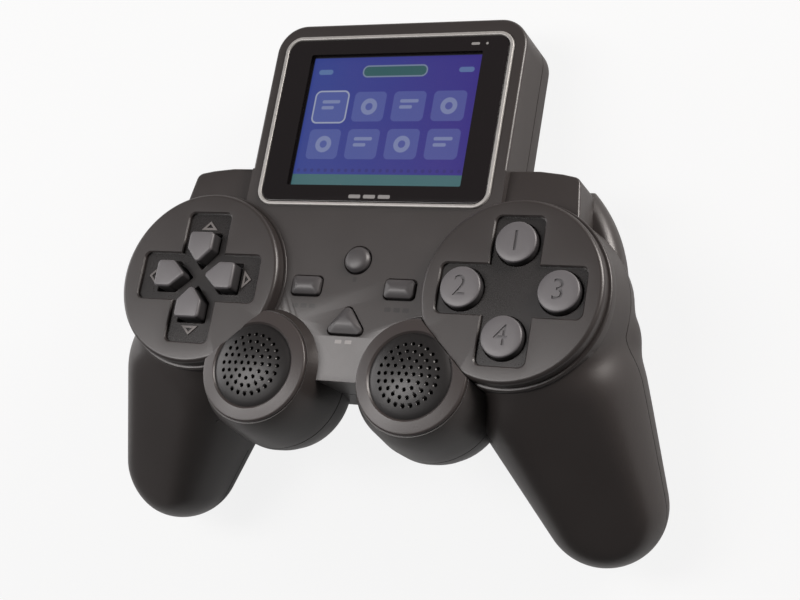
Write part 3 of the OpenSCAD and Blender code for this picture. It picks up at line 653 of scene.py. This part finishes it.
# Openings for the window, the display, the ribbon, the sockets and the speakers
trim_w = 66.0
trim_h = 48.2
trim_mid = 45.8
trim_r = 4.5
seat_gap = 0.1
lens_z = -1.0
display_w = 52.8
display_h = 42.7
display_r = 0.5
display_mid = 44.85
ribbon_half = 10.5
ribbon_low = 20.9
ribbon_high = 24.6
ribbon_skin = 0.25
charge_x = -10.0
charge_half = 3.9
charge_low = -10.4
charge_high = -7.6
jack_x = 10.0
jack_z = -10.5
jack_r = 2.6
speaker_r = 7.9
window = rounded(trim_w + 2*seat_gap, trim_h + 2*seat_gap, trim_r + seat_gap, 0, trim_mid)
display_hole = rounded(display_w, display_h, display_r, 0, display_mid)
jack_hole = column("jack", jack_r, -over, wall + over)
jack_hole.data.transform(Matrix.Translation(Vector((jack_x, block_top, jack_z))*mm)
                         @ Matrix.Rotation(math.pi/2, 4, "X"))
front_cuts += [plate("window", window, lens_z, over),
               plate("display", display_hole, -wall - over, over),
               box("ribbon", (-ribbon_half, ribbon_low, -wall - over),
                   (ribbon_half, ribbon_high, lens_z - ribbon_skin)),
               box("charge", (charge_x - charge_half, block_top - wall - over, charge_low),
                   (charge_x + charge_half, block_top + over, charge_high)),
               jack_hole]
front_cuts += both_sides(column("speaker", speaker_r, -over, deck_z + over, (pod_x, -pod_drop), 72))

# The battery bay and the door's recess in the rear half
bay_half = 26.75
bay_low = -16.4
bay_high = 20.3
bay_floor = -17.35
bay_wall = 1.6
door_half = 28.35
door_low = -18.0
door_t = 1.6
door_gap = 0.25
rear_posts.append(box("bay", (-bay_half - bay_wall, bay_low - bay_wall, wall/2 - body_t),
                      (bay_half + bay_wall, bay_high + bay_wall, bay_floor + bay_wall)))
rear_posts.append(box("runner", (-door_half - bay_wall, door_low - bay_wall, wall/2 - body_t),
                      (door_half + bay_wall, body_top - wall/2, door_t + seat_gap + bay_wall - body_t)))
rear_cuts.append(box("bay", (-bay_half, bay_low, -body_t - over), (bay_half, bay_high, bay_floor)))
rear_cuts.append(box("recess", (-door_half - door_gap, door_low - door_gap, -body_t - over),
                     (door_half + door_gap, body_top + over, door_t + seat_gap - body_t)))
join(front, join(*front_posts))
cut(front, join(*front_cuts))
join(front, join(*arrows))
join(rear, join(*rear_posts))
cut(rear, join(*rear_cuts))


class Wire:
    """A shader socket that takes part in sums: an expression on values adds its Math nodes."""

    def __init__(self, tree, socket=None):
        self.tree = tree
        self.socket = socket

    def node(self, kind, settings=None, inputs=None, output=0):
        """Add a node, set what it is, then give its sockets values or links, and take one output."""
        made = self.tree.nodes.new("ShaderNode" + kind)
        for name, value in (settings or {}).items():
            setattr(made, name, value)
        for name, value in (inputs or {}).items():
            if isinstance(value, Wire):
                self.tree.links.new(value.socket, made.inputs[name])
            else:
                made.inputs[name].default_value = value
        return Wire(self.tree, made.outputs[output] if made.outputs else None)

    def maths(self, operation, *values, clamp=False):
        """A Math node on some values."""
        return self.node("Math", {"operation": operation, "use_clamp": clamp}, dict(enumerate(values)))

    def __add__(self, other):
        return self.maths("ADD", self, other)

    def __sub__(self, other):
        return self.maths("SUBTRACT", self, other)

    def __rsub__(self, other):
        return self.maths("SUBTRACT", other, self)

    def __mul__(self, other):
        return self.maths("MULTIPLY", self, other)

    def __truediv__(self, other):
        return self.maths("DIVIDE", self, other)

    def __mod__(self, other):
        return self.maths("FLOORED_MODULO", self, other)

    def __abs__(self):
        return self.maths("ABSOLUTE", self)

    __radd__ = __add__
    __rmul__ = __mul__

    def axis(self, i):
        """One of a vector's three values."""
        return self.node("SeparateXYZ", {}, {"Vector": self}, i)

    def larger(self, other):
        """The larger of two values."""
        return self.maths("MAXIMUM", self, other)

    def smaller(self, other):
        """The smaller of two values."""
        return self.maths("MINIMUM", self, other)

    def held(self):
        """The value, kept between 0 and 1."""
        return self.maths("ADD", self, 0.0, clamp=True)

    def above(self, edge, soft):
        """A mask that goes from 0 at an edge to 1 a soft width above it."""
        return ((self - edge)/soft).held()

    def below(self, edge, soft):
        """A mask that goes from 0 at an edge to 1 a soft width below it."""
        return ((edge - self)/soft).held()

    def blend(self, mask, first, second):
        """A colour between two colours."""
        return self.node("Mix", {"data_type": "RGBA"}, {0: mask, 6: first, 7: second}, 2)

    def face(self):
        """Places on the console in millimetres, as they lie on its face."""
        spot = self.node("TexCoord", output=3)
        back = seat.inverted()
        return self.node("Mapping", {}, {"Vector": spot, "Scale": (1/mm, 1/mm, 1/mm),
                                         "Rotation": back.to_euler(), "Location": back.translation/mm})

    def noise(self, place, scale, detail=2.0):
        """Cloudy values, with a scale in waves to the millimetre."""
        return self.node("TexNoise", {}, {"Vector": place, "Scale": scale, "Detail": detail})

    def bump(self, height, strength, depth):
        """A surface that follows a height, with its depth in millimetres."""
        return self.node("Bump", {}, {"Height": height, "Strength": strength, "Distance": depth*mm})


def colour(code):
    """A colour from its six hexadecimal digits, as light."""
    parts = [int(code[i:i + 2], 16)/255 for i in (0, 2, 4)]
    return (*[p/12.92 if p <= 0.04045 else ((p + 0.055)/1.055)**2.4 for p in parts], 1.0)


def new_material(name):
    """An empty material and a wire to draw its nodes with."""
    made = bpy.data.materials.new(name)
    made.use_nodes = True
    made.node_tree.nodes.clear()
    return made, Wire(made.node_tree)


def surface(w, sockets):
    """End a material in one shader."""
    w.node("OutputMaterial", {}, {"Surface": w.node("BsdfPrincipled", {}, sockets)})


def distance(across, up):
    """How far a place is from a middle, from its distances along x and y."""
    return across.maths("SQRT", across*across + up*up)


def patch(x, y, w, h, r, soft=0.14):
    """A mask that is 1 within a rectangle with round corners about a point, and 0 outside."""
    across = (abs(x) - (w/2 - r)).larger(0.0)
    up = (abs(y) - (h/2 - r)).larger(0.0)
    return distance(across, up).below(r, soft)


def in_three(x, pitch):
    """Places along a row of three, each measured from its own middle."""
    return (x + 1.5*pitch) % pitch - pitch/2


def finish(piece, name, node, body, material, angle=35):
    """Seat a finished piece in the frame, shade it, and say what it stands for."""
    piece.name = name
    piece.data.transform(seat)
    piece.data.materials.clear()
    piece.data.materials.append(material)
    bpy.ops.object.select_all(action="DESELECT")
    piece.select_set(True)
    bpy.context.view_layer.objects.active = piece
    bpy.ops.object.shade_smooth_by_angle(angle=math.radians(angle))
    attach(piece, body)
    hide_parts(node)


# The plastic has an eroded grain and faint clouds. The floors of the recesses are smoother and glossier,
# and painted darker as shade. Plain dark dashes are printed by the keys, two pale ones below, and the arrows
# are paler.
cloud_scale = 0.06
cloud_detail = 3.0
pore_scale = 2.4
pore_depth = 0.05
pore_gloss = 0.06
height_soft = 0.1
rim_soft = 0.2
floor_near = 0.15
floor_rim = 2.0
arrow_size = (arrow_half + 0.8, 6, 0.2)
panel_near = 0.5
panel_soft = 0.125
print_r = 0.3
dash_y = -5.3
dash_pitch = 2.5
dash_size = (1.9, 1.3, print_r)
dash_row = (7.4, 2.0, print_r)
dot_y = 2.2
dot_size = (1.1, 1.5, print_r)
pale_x = 1.4
pale_y = -14.2
pale_size = (2.0, 1.1, print_r)

case_plastic, w = new_material("case_plastic")
spot = w.face()
x, y, z = (spot.axis(i) for i in range(3))
clouds = w.noise(spot, cloud_scale, cloud_detail)
pores = w.noise(spot, pore_scale)
aside = abs(x) - disc_x
from_disc = distance(aside, y)
shaded_glossy_floor = z.below(recess_z + floor_near, height_soft)*from_disc.below(disc_r - floor_rim, rim_soft)
near_arrow = patch(from_disc - (arrow_at + arrow_half/2), abs(aside).smaller(abs(y)), *arrow_size)
over_floor = z.above(recess_z + floor_near, height_soft)*z.below(disc_rise - edge_soft, height_soft)
on_panel = z.above(-panel_near, panel_soft)
beside = abs(x) - oblong_x
dashes = patch(in_three(beside, dash_pitch), y - dash_y, *dash_size)*patch(beside, y - dash_y, *dash_row)
dashes = (dashes + patch(x, y - dot_y, *dot_size))*on_panel
pale = patch(abs(x) - pale_x, y - pale_y, *pale_size)*on_panel
plastic = w.blend(clouds, colour("2c2827"), colour("302c2b"))
# Painted shade: the recess floors are darkened.
plastic = w.blend(0.85*shaded_glossy_floor, plastic, colour("1c1a1a"))
plastic = w.blend(0.8*dashes.held(), plastic, colour("161413"))
plastic = w.blend((0.5*pale + 0.4*(near_arrow*over_floor)).held(), plastic, colour("8d8886"))
rough = 0.36 - 0.08*shaded_glossy_floor + 0.08*(clouds - 0.5) + pore_gloss*(pores - 0.5)
surface(w, {"Base Color": plastic, "Roughness": rough,
            "Normal": w.bump(pores, 0.25 - 0.15*shaded_glossy_floor, pore_depth)})
finish(front, "front_case", "front_shell", "case", case_plastic)
finish(rear, "rear_case", "rear_shell", "case", case_plastic)

# Inner pieces: boards, chip, rubber sheets, speakers, battery, contacts, sheet tray, ribbon, pivot and
# small screws. The closed case hides them, so they keep the frame's shapes, and each gets its finish.
# Key sides below their tops are painted darker, as the shade that falls on them.
side_drop = 0.55
side_soft = 0.4
side_shade_share = 0.75
line_depth = 0.02


def dress(material, *names):
    """Give pieces of the frame a material."""
    for name in names:
        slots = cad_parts[name].data.materials
        slots.clear()
        slots.append(material)


def moulded(name, dark, light, rough, grain, top=None):
    """Moulded plastic: fine pores, and faint clouds in its colour and gloss. Below a top its sides are
    painted darker as shade.
    """
    made, w = new_material(name)
    place = w.face()
    clouds = w.noise(place, cloud_scale, cloud_detail)
    pores = w.noise(place, pore_scale)
    shade = w.blend(clouds, colour(dark), colour(light))
    if top is not None:
        # Painted shade: below the top, the sides blend towards a dark grey.
        shaded_sides = place.axis(2).below(top - side_drop, side_soft)
        shade = w.blend(side_shade_share*shaded_sides, shade, colour("141313"))
    surface(w, {"Base Color": shade, "Roughness": rough + 0.1*(clouds - 0.5) + pore_gloss*(pores - 0.5),
                "Normal": w.bump(pores, grain, pore_depth)})
    return made


def metal(name, dark, light, rough, stretch, bare=1.0):
    """Metal, bare or thinly coated, with the fine lines of its rolling drawn out along one direction."""
    made, w = new_material(name)
    drawn_out = w.node("VectorMath", {"operation": "MULTIPLY"}, {0: w.face(), 1: stretch})
    lines = w.noise(drawn_out, 1.0, 3.0)
    surface(w, {"Base Color": w.blend(lines, colour(dark), colour(light)), "Metallic": bare,
                "Roughness": rough + 0.16*(lines - 0.5), "Normal": w.bump(lines, 0.15, line_depth)})
    return made


# Boards: green solder mask over paler tracks, with gilt pads
track_scale = 0.3
track_w = 0.03
pad_scale = 0.35
pad_r = 0.14
pad_soft = 0.025
board_green, w = new_material("board_green")
place = w.face()
tracks = w.node("TexBrick", {"offset": 0.37},
                {"Vector": place, "Scale": track_scale, "Mortar Size": track_w}, 1)
pads = w.node("TexVoronoi", {}, {"Vector": place, "Scale": pad_scale}).below(pad_r, pad_soft)
solder_mask = w.blend(tracks, colour("1d5a32"), colour("35804c"))
surface(w, {"Base Color": w.blend(pads, solder_mask, colour("c9a54e")), "Metallic": pads,
            "Roughness": 0.45 - 0.15*pads, "Normal": w.bump(tracks + pads, 0.4, 0.04)})
dress(board_green, "main_board", "left_button_board", "right_button_board")

dress(moulded("chip_black", "151517", "1c1c1f", 0.5, 0.4), "main_chip")
membrane_rubber = moulded("membrane_rubber", "8b8c8d", "9a9b9b", 0.62, 0.15)
dress(membrane_rubber, "dpad_membrane", "face_membrane", "centre_membrane")

# Speakers: black pressed fibre with round corrugations
ring_turn = 4.2
speaker_black, w = new_material("speaker_black")
spot = w.face()
rings = w.maths("SINE", ring_turn*distance(abs(spot.axis(0)) - pod_x, spot.axis(1) + pod_drop))
fibre = w.noise(spot, 1.4, 4.0)
surface(w, {"Base Color": w.blend(fibre, colour("121213"), colour("26262a")),
            "Roughness": 0.55 + 0.2*(fibre - 0.5), "Normal": w.bump(rings + fibre, 0.5, 0.15)})
dress(speaker_black, "left_speaker", "right_speaker")

# Battery: a blue shrink wrap with bare silver ends
wrap_mid = 2.0
wrap_half = 12.0
wrap_soft = 0.125
battery_wrap, w = new_material("battery_wrap")
spot = w.face()
crease = w.noise(spot, 0.35, 4.0)
ends = abs(spot.axis(1) - wrap_mid).above(wrap_half, wrap_soft)
surface(w, {"Base Color": w.blend(ends, colour("2d4f8e"), colour("b9bcc2")), "Metallic": 0.7*ends,
            "Roughness": 0.34 + 0.2*(crease - 0.5), "Normal": w.bump(crease, 0.4, 0.12)})
dress(battery_wrap, "battery")

# Ribbon: amber film over fine copper leads
lead_pitch = 0.8
ribbon_film, w = new_material("ribbon_film")
leads = (3*w.maths("SINE", w.face().axis(0)*math.tau/lead_pitch)).held()
surface(w, {"Base Color": w.blend(leads, colour("8a4d18"), colour("c98a43")),
            "Roughness": 0.34 + 0.08*leads, "Normal": w.bump(leads, 0.3, 0.03)})
dress(ribbon_film, "lcd_ribbon")

screw_steel = metal("screw_steel", "8f9093", "b3b4b6", 0.34, (1.2, 1.2, 1.2))
dress(metal("contact_brass", "b08a43", "cfa95c", 0.3, (0.3, 3.0, 3.0)), "battery_contacts")
dress(metal("sheet_steel", "8b8d90", "a9abad", 0.38, (0.15, 4.0, 4.0)), "lcd_frame")
dress(screw_steel, "board_screws")
key_finish = ("545254", "5b595b", 0.4, 0.2)
dress(moulded("key_plastic", *key_finish), "dpad_pivot")

# Display: a small colour panel that lies behind the window and glows. Its picture is a plain menu of
# cards on a blue to violet ground, with a teal band along its lower edge.
lit_w = 49.0
lit_h = 36.7
lit_mid = 45.95
lit_r = 0.3
card_pitch = 11.4
row_pitch = 10.6
menu_drop = 1.2
menu_size = (4*card_pitch, 2*row_pitch, 0.2)
card_size = (9.4, 8.6, 1.4)
ring_size = (4.8, 4.8, 2.4)
ring_within = (2.2, 2.2, 1.1)
long_y = 1.5
long_size = (5.4, 1.1, 0.5)
short_x = -0.8
short_y = -0.2
short_size = (3.8, 1.1, 0.5)
rim_size = (10.4, 9.6, 1.8)
rim_within = (9.5, 8.7, 1.4)
title_y = 14.2
title_size = (19.0, 3.6, 1.7)
title_within = (18.2, 2.8, 1.3)
pill_x = 20.4
pill_size = (4.4, 1.6, 0.8)
dots_pitch = 2.0
dots_y = -13.9
dots_size = (1.1, 1.1, 0.5)
band_y = -14.9
band_soft = 1/6

display, w = new_material("display")
spot = w.face()
x = spot.axis(0)
y = spot.axis(1) - lit_mid
menu_y = y + menu_drop
cell_x = (x + 2*card_pitch) % card_pitch - card_pitch/2
cell_y = (menu_y + row_pitch) % row_pitch - row_pitch/2
field = patch(x, menu_y, *menu_size)
odd = ((w.maths("FLOOR", x/card_pitch) + w.maths("FLOOR", menu_y/row_pitch)) % 2.0).held()
card = field*patch(cell_x, cell_y, *card_size)
ring_mark = patch(cell_x, cell_y, *ring_size) - patch(cell_x, cell_y, *ring_within)
long_bar = patch(cell_x, cell_y - long_y, *long_size)
short_bar = patch(cell_x - short_x, cell_y - short_y, *short_size)
mark = field*(odd*ring_mark + (1 - odd)*(long_bar + short_bar))
chosen_x = x + 1.5*card_pitch
chosen_y = menu_y - row_pitch/2
chosen = patch(chosen_x, chosen_y, *rim_size) - patch(chosen_x, chosen_y, *rim_within)
title = patch(x, y - title_y, *title_size)
title_rim = title - patch(x, y - title_y, *title_within)
pills = patch(abs(x) - pill_x, y - title_y, *pill_size)
dots = patch(x % dots_pitch - dots_pitch/2, y - dots_y, *dots_size)
band = y.below(band_y, band_soft)
haze = w.noise(spot, 0.09, 2.0)
picture = w.blend(((x + lit_w/2)/lit_w + 0.3*(haze - 0.5)).held(), colour("4457b4"), colour("4a3aa6"))
layers = [(card, 0.45, "7f8fd8"), (mark, 0.6, "b4c0e8"), (chosen, 0.8, "d3dcf2"), (title, 0.8, "3d7a62"),
          (title_rim, 0.7, "a9b4dc"), (pills, 0.6, "86aede"), (dots, 0.5, "383078"), (band, 1.0, "55878c")]
for mask, share, tone in layers:
    picture = w.blend(share*mask.held(), picture, colour(tone))
lit = patch(x, y, lit_w, lit_h, lit_r)
surface(w, {"Base Color": w.blend(lit, colour("26272b"), colour("0c0c12")),
            "Roughness": 0.35 + 0.1*(haze - 0.5),
            "Emission Color": w.blend(lit, colour("000000"), picture), "Emission Strength": 0.62})
dress(display, "lcd_panel")

# Window: a clear acrylic plate, printed gloss black from behind outside the picture, with a few plain
# silver bars. It is glued into the recess of the screen block.
lens_w = 63.8
lens_h = 46.0
lens_r = 3.4
lens_top = 0.5
lens_edge = 0.25
clear_spare = 0.6
clear_r = 0.5
bar_pitch = 4.2
bars_y = 24.3
bar_size = (3.5, 1.1, 0.4)
bars_size = (3*bar_pitch, 3.0, 0.2)
small_y = 66.6
small_bars = ((22.4, (2.4, 0.8, 0.35)), (25.6, (0.8, 0.8, 0.4)))
lens = plate("lens", rounded(lens_w, lens_h, lens_r, 0, trim_mid, 12), lens_z, lens_top)
round_edges(lens, lens_top, lens_edge, 3)
lens_black, w = new_material("lens_black")
spot = w.face()
x = spot.axis(0)
y = spot.axis(1)
clear = patch(x, y - lit_mid, lit_w + clear_spare, lit_h + clear_spare, clear_r)
bars = patch(in_three(x, bar_pitch), y - bars_y, *bar_size)*patch(x, y - bars_y, *bars_size)
for bar_x, size in small_bars:
    bars = bars + patch(x - bar_x, y - small_y, *size)
bars = bars.held()
smears = w.noise(spot, 0.12, 3.0)
surface(w, {"Base Color": w.blend(bars, colour("1a1718"), colour("a9a7a6")), "Metallic": 0.5*bars,
            "Roughness": 0.09 + 0.06*(smears - 0.5), "Alpha": 1 - 0.9*clear, "Specular IOR Level": 0.4})
finish(lens, "window", "screen_lens", "case", lens_black)

# Border: a thin silver-coated frame round the window, pressed into the same recess. It stands a little
# proud of the face, with softened edges.
trim_line = 1.0
trim_rise = 0.7
trim_edge = 0.28
trim = plate("trim", rounded(trim_w, trim_h, trim_r, 0, trim_mid, 12), lens_z, trim_rise)
inner = rounded(trim_w - 2*trim_line, trim_h - 2*trim_line, trim_r - trim_line, 0, trim_mid, 12)
cut(trim, plate("within", inner, lens_z - over, trim_rise + over))
round_edges(trim, trim_rise, trim_edge, 3)
trim_silver = metal("trim_silver", "8f8d8b", "a09e9b", 0.42, (0.8, 0.8, 0.8), 0.3)
finish(trim, "border", "screen_trim", "case", trim_silver)

# Direction pad: one rocker moulded in grey ABS. Four key tops stand up from a round plate, which lies
# under the left disc and tilts on the pivot.
key_top = 6.3
key_corner = 1.0
key_edge = 0.6
key_sunk = 0.5
rocker_r = 13.7
rocker_foot = -1.417
rocker_top = -0.217
rocker_edge = 0.3
key = plate("key", key_outline(0, key_corner), rocker_top - key_sunk, key_top)
round_edges(key, key_top, key_edge, 5)
rocker = lathe("rocker", [(0, rocker_foot), (rocker_r - rocker_edge, rocker_foot),
                          (rocker_r, rocker_foot + rocker_edge), (rocker_r, rocker_top - rocker_edge),
                          (rocker_r - rocker_edge, rocker_top), (0, rocker_top)], (-disc_x, 0, 0))
pad = join(rocker, *quarter_turns(key, -disc_x))
# Its sides below the key tops are painted darker as shade.
pad_plastic = moulded("pad_plastic", *key_finish, key_top)
finish(pad, "pad", "direction_pad", "dpad", pad_plastic)

# Face buttons: four round caps of the same grey ABS, each with a flange that keeps it under the disc
# and a plain engraved number.
button_top = 5.2
cap_foot = -1.0
cap_crown = 0.2
cap_edge = 0.45
crown_r = 3.6
crown_share = 0.62
crown_steps = 6
flange_r = 6.2
flange_low = -0.7
flange_high = 0.5
number_size = 7.4
number_depth = 0.4
crown = [1 - i/crown_steps for i in range(crown_steps + 1)]
cap = lathe("cap", [(0, cap_foot), (button_r, cap_foot), (button_r, flange_low), (flange_r, flange_low),
                    (flange_r, flange_high), (button_r, flange_high),
                    *arc(button_r - cap_edge, button_top - cap_crown - cap_edge, cap_edge, 0, 80, 5),
                    *[(crown_r*out, button_top - cap_crown*(crown_share*out)**2) for out in crown]], steps=96)


def engraved(word, x, y, z):
    """The tool for an engraved number: a text about a place, made into a solid."""
    bpy.ops.object.select_all(action="DESELECT")
    bpy.ops.object.text_add()
    text = bpy.context.object
    text.data.body = word
    text.data.size = number_size*mm
    text.data.extrude = number_depth*mm
    text.data.align_x = "CENTER"
    text.data.align_y = "CENTER"
    bpy.ops.object.convert(target="MESH")
    bpy.ops.object.mode_set(mode="EDIT")
    close_solid()
    text.data.transform(Matrix.Translation(Vector((x, y, z))*mm))
    return text


# Their sides below the cap tops are painted darker as shade.
cap_plastic = moulded("cap_plastic", *key_finish, button_top)
for number, (side, at) in enumerate(buttons_at.items(), 1):
    button = copy(cap, Matrix.Translation(Vector((*at, 0))*mm))
    carve(button, engraved(str(number), *at, button_top))
    finish(button, "cap_" + side, "face_button_" + side, "button_" + side, cap_plastic)
bpy.data.objects.remove(cap)

# Centre keys: two oblong keys with pillowed tops, a round domed one and a three-cornered one with a
# low pointed top. Each is grey ABS with a flange that keeps it under the panel.
key_foot = -3.5
key_flange = 1.2
flange_out = 1
oblong_eaves = 0.6
oblong_crown = ((0.25, -0.12), (0.35, -0.5), (0.3, -0.7), (0.2, -0.6))
power_eaves = 0.5
power_crown = ((0.22, -0.12), (0.4, -0.9), (0.38, -0.9), (0.14, -0.6))
reset_eaves = 0.5
reset_chamfer = (0.15, 0.25)
reset_dome_r = 3.1
reset_dome_low = 0.8
reset_dome_rise = 0.9


def crowned_key(name, outline, eaves, crown):
    """A key with a flange at its foot, whose top rises in steps: how far up, and how far outwards."""
    solid = plate(name, outline(0), key_foot, eaves)
    for rise, out in crown:
        draw_top(solid, max(v.co.z for v in solid.data.vertices)/mm, rise, out)
    return join(solid, plate("flange", outline(flange_out), key_foot, key_foot + key_flange))


oblong = crowned_key("oblong", oblong_outline, oblong_eaves, oblong_crown)
power = crowned_key("power", power_outline, power_eaves, power_crown)
reset_flange = reset_r + flange_out
reset = lathe("reset", [(0, key_foot), (reset_flange, key_foot), (reset_flange, key_foot + key_flange),
                        (reset_r, key_foot + key_flange), (reset_r, reset_eaves),
                        (reset_r - reset_chamfer[0], reset_eaves + reset_chamfer[1]),
                        *[(reset_dome_r*out, reset_dome_low + reset_dome_rise*up)
                          for out, up in arc(0, 0, 1, 6, 90, 7)]], (0, reset_y, 0), 96)
dark_keys = moulded("dark_keys", "3c3a3b", "424041", 0.42, 0.2)
for piece, side in ((mirrored(oblong), "select"), (oblong, "start"), (reset, "reset"), (power, "power")):
    finish(piece, "key_" + side, side + "_key", side, dark_keys, 24)

# Speaker grilles: a flat ring and a low dome in one moulding, with rings of sound holes, cut straight
# where it meets the disc. It clips onto the pod's deck over the speaker.
ring_top = 4.8
ring_fall = 0.6
ring_low = ring_top - ring_fall
ring_edge = 0.5
ring_out = 0.6
ring_crest = 0.04
ring_in = 0.4
ring_chamfer = 0.15
gap_w = 0.2
gap_rise = 0.1
dome_r = 10.9
dome_low = 4.3
dome_crown = 2.3
dome_t = 1.2
dome_steps = 14
chord_gap = 0.1
hole_r = 0.45
hole_step = 1.95
hole_circles = 5
hole_depth = 4
hole_flare = 0.3
flare_low = -0.1
flare_high = 0.2
bowl = (dome_r**2 + dome_crown**2)/(2*dome_crown)


def dome_z(r):
    """The height of the dome's outer face at a distance from its middle."""
    return dome_low + dome_crown - bowl + math.sqrt(bowl**2 - r**2)


radii = [dome_r*i/dome_steps for i in range(dome_steps)]
ring = [(dome_r - gap_w, dome_low), (dome_r, dome_low + gap_rise),
        (dome_r + ring_chamfer, ring_top - ring_chamfer), (dome_r + ring_in, ring_top),
        (pod_r - ring_out, ring_low + ring_crest),
        *arc(pod_r - ring_edge, ring_low - ring_edge, ring_edge, 80, 0, 4), (pod_r, deck_z)]
grille = lathe("grille", [(r, dome_z(r)) for r in radii] + ring
               + [(r, dome_z(r) - dome_t) for r in reversed(radii[:-1])], (pod_x, -pod_drop, 0), 120)
sound_hole = [(0, -hole_depth), (hole_r, -hole_depth), (hole_r, flare_low),
              (hole_r + hole_flare, flare_high), (0, flare_high)]
holes = []
for circle in range(hole_circles):
    count = max(1, 6*circle)
    r = hole_step*circle
    for i in range(count):
        angle = math.tau*i/count
        at = (pod_x + r*math.cos(angle), r*math.sin(angle) - pod_drop, dome_z(r))
        holes.append(lathe("hole", sound_hole, at, 14))
bpy.ops.object.select_all(action="DESELECT")
for hole in holes:
    hole.select_set(True)
bpy.context.view_layer.objects.active = holes[0]
bpy.ops.object.join()
cut(grille, holes[0], before_chord(chord_gap))
grille_plastic, w = new_material("grille_plastic")
spot = w.face()
dome = distance(abs(spot.axis(0)) - pod_x, spot.axis(1) + pod_drop).below(dome_r, rim_soft)
pores = w.noise(spot, pore_scale)
surface(w, {"Base Color": w.blend(dome, colour("373231"), colour("151313")),
            "Roughness": 0.36 + 0.04*dome + pore_gloss*(pores - 0.5),
            "Normal": w.bump(pores, 0.2 - 0.1*dome, pore_depth)})
for piece, side in ((mirrored(grille), "left"), (grille, "right")):
    finish(piece, "grille_" + side, side + "_speaker_grille", "case", grille_plastic)

# Battery door: a moulded plate that slides in the rear shell's recess, with five thumb grooves near
# its outer end.
door_r = 1.0
door_edge = 0.3
thumb_count = 5
thumb_size = (16, 1.0, 0.45)
thumb_from = 4.5
thumb_pitch = 2
thumb_depth = 0.5
outline = rounded(2*door_half, body_top - door_low, door_r, 0, (body_top + door_low)/2, 4)
door = plate("door", outline, -body_t, door_t - body_t)
round_edges(door, -body_t, door_edge, 3)
for i in range(thumb_count):
    outline = rounded(*thumb_size, 0, body_top - thumb_from - thumb_pitch*i, 4)
    cut(door, plate("thumb", outline, -body_t - over, thumb_depth - body_t))
finish(door, "door", "battery_door", "door", case_plastic)

# Case screws: six pan heads with a cross recess, headed from steel wire and zinc-plated. They are sunk
# in the rear shell and hold it to the front one.
head_t = 1.6
head_flat = 1.5
head_dish = 0.1
head_chamfer = (0.25, 0.35)
head_side = 0.7
screw_shank = 0.95
screw_len = 9.0
screw_point = 0.8
point_r = 0.2
slot_half = 1.3
slot_w = 0.44
slot_depth = 0.8
outline = [(0, head_dish - head_t), (head_flat, -head_t),
           (case_head_r - head_chamfer[0], head_chamfer[1] - head_t),
           (case_head_r, head_side - head_t), (case_head_r, 0), (screw_shank, 0),
           (screw_shank, screw_len - screw_point), (point_r, screw_len), (0, screw_len)]
screw = lathe("screw", outline, steps=36)
for x, y in ((slot_half, slot_w/2), (slot_w/2, slot_half)):
    cut(screw, box("slot", (-x, -y, -head_t - over), (x, y, slot_depth - head_t)))
seats = [(x, y, case_seat - depth) for x, y, depth in case_screws_at]
seats.append((*grip_screw.xy, grip_foot + case_seat))
screws = [copy(screw, Matrix.Translation(Vector((side*x, y, z))*mm)) for x, y, z in seats for side in (-1, 1)]
bpy.data.objects.remove(screw)
finish(join(*screws), "screws", "case_screws", "case", screw_steel)

# Sockets: a charging socket folded from nickel-plated sheet, and a round jack in black plastic.
# Both stand on the main board and look out through the block's top wall.
socket_nickel = metal("socket_nickel", "9c9c9b", "bdbcba", 0.3, (3.0, 0.4, 3.0))
dress(socket_nickel, "usb_socket")
dress(moulded("jack_black", "17171a", "202024", 0.45, 0.3), "av_jack")

# Stage: a white table top that keeps a soft shadow, a long soft lamp high on the left, one on the right
# behind the screen and a weak one low on the left, a little light from all round, and the camera at the
# photographed angle.
table_size = 6
white_seen = 0.86
white_mirrored = 0.16
bpy.ops.object.select_all(action="DESELECT")
bpy.ops.mesh.primitive_plane_add(size=table_size)
table_top = bpy.context.object
table_top.name = "floor"
table, w = new_material("table")
seen = w.node("LightPath", output=0)
mirrored_ray = w.node("LightPath", output=3)
through = w.node("LightPath", output=6)
shaded = w.node("BsdfDiffuse", {}, {"Color": (0.6, 0.6, 0.6, 1)})
white = w.node("Emission", {}, {"Color": (1, 1, 1, 1)})
share = (white_seen*seen + white_mirrored*(mirrored_ray + through)).held()
w.node("OutputMaterial", {}, {"Surface": w.node("MixShader", {}, {0: share, 1: shaded, 2: white})})
table_top.data.materials.append(table)
bpy.context.scene.view_settings.view_transform = "Standard"
world = bpy.context.scene.world or bpy.data.worlds.new("studio")
bpy.context.scene.world = world
world.use_nodes = True
world.node_tree.nodes.clear()
w = Wire(world.node_tree)
sky = w.node("Background", {}, {"Color": (1, 0.99, 0.98, 1), "Strength": 0.12})
w.node("OutputWorld", {}, {"Surface": sky})


def softbox(name, place, size, power, tint):
    """An oblong lamp at a place over the face, in millimetres, turned towards the middle of the panel."""
    bpy.ops.object.light_add(type="AREA")
    lamp = bpy.context.object
    lamp.name = name
    lamp.data.energy = power
    lamp.data.shape = "RECTANGLE"
    lamp.data.size, lamp.data.size_y = (side*mm for side in size)
    lamp.data.color = tint
    at = Vector(place)*mm
    lamp.matrix_world = seat @ Matrix.Translation(at) @ at.to_track_quat("Z", "Y").to_matrix().to_4x4()


softbox("key_light", (-285, -54, 580), (190, 480), 3.2, (1, 0.965, 0.955))
softbox("right_light", (450, 330, 222), (260, 260), 4.6, (1, 0.94, 0.9))
softbox("left_light", (-520, 60, 160), (300, 300), 1.0, (1, 0.97, 0.97))
eye = Vector((179.74, -103.11, 336.70))*mm
aim = Vector((13.555, -2.618, 0))*mm
roll = math.radians(-52.351)
bpy.ops.object.camera_add()
camera = bpy.context.object
camera.data.sensor_width = 36
camera.data.lens = 70.787
camera.data.clip_start = 0.01
looking = (aim - eye).to_track_quat("-Z", "Y").to_matrix().to_4x4()
camera.matrix_world = seat @ Matrix.Translation(eye) @ looking @ Matrix.Rotation(roll, 4, "Z")
bpy.context.scene.camera = camera
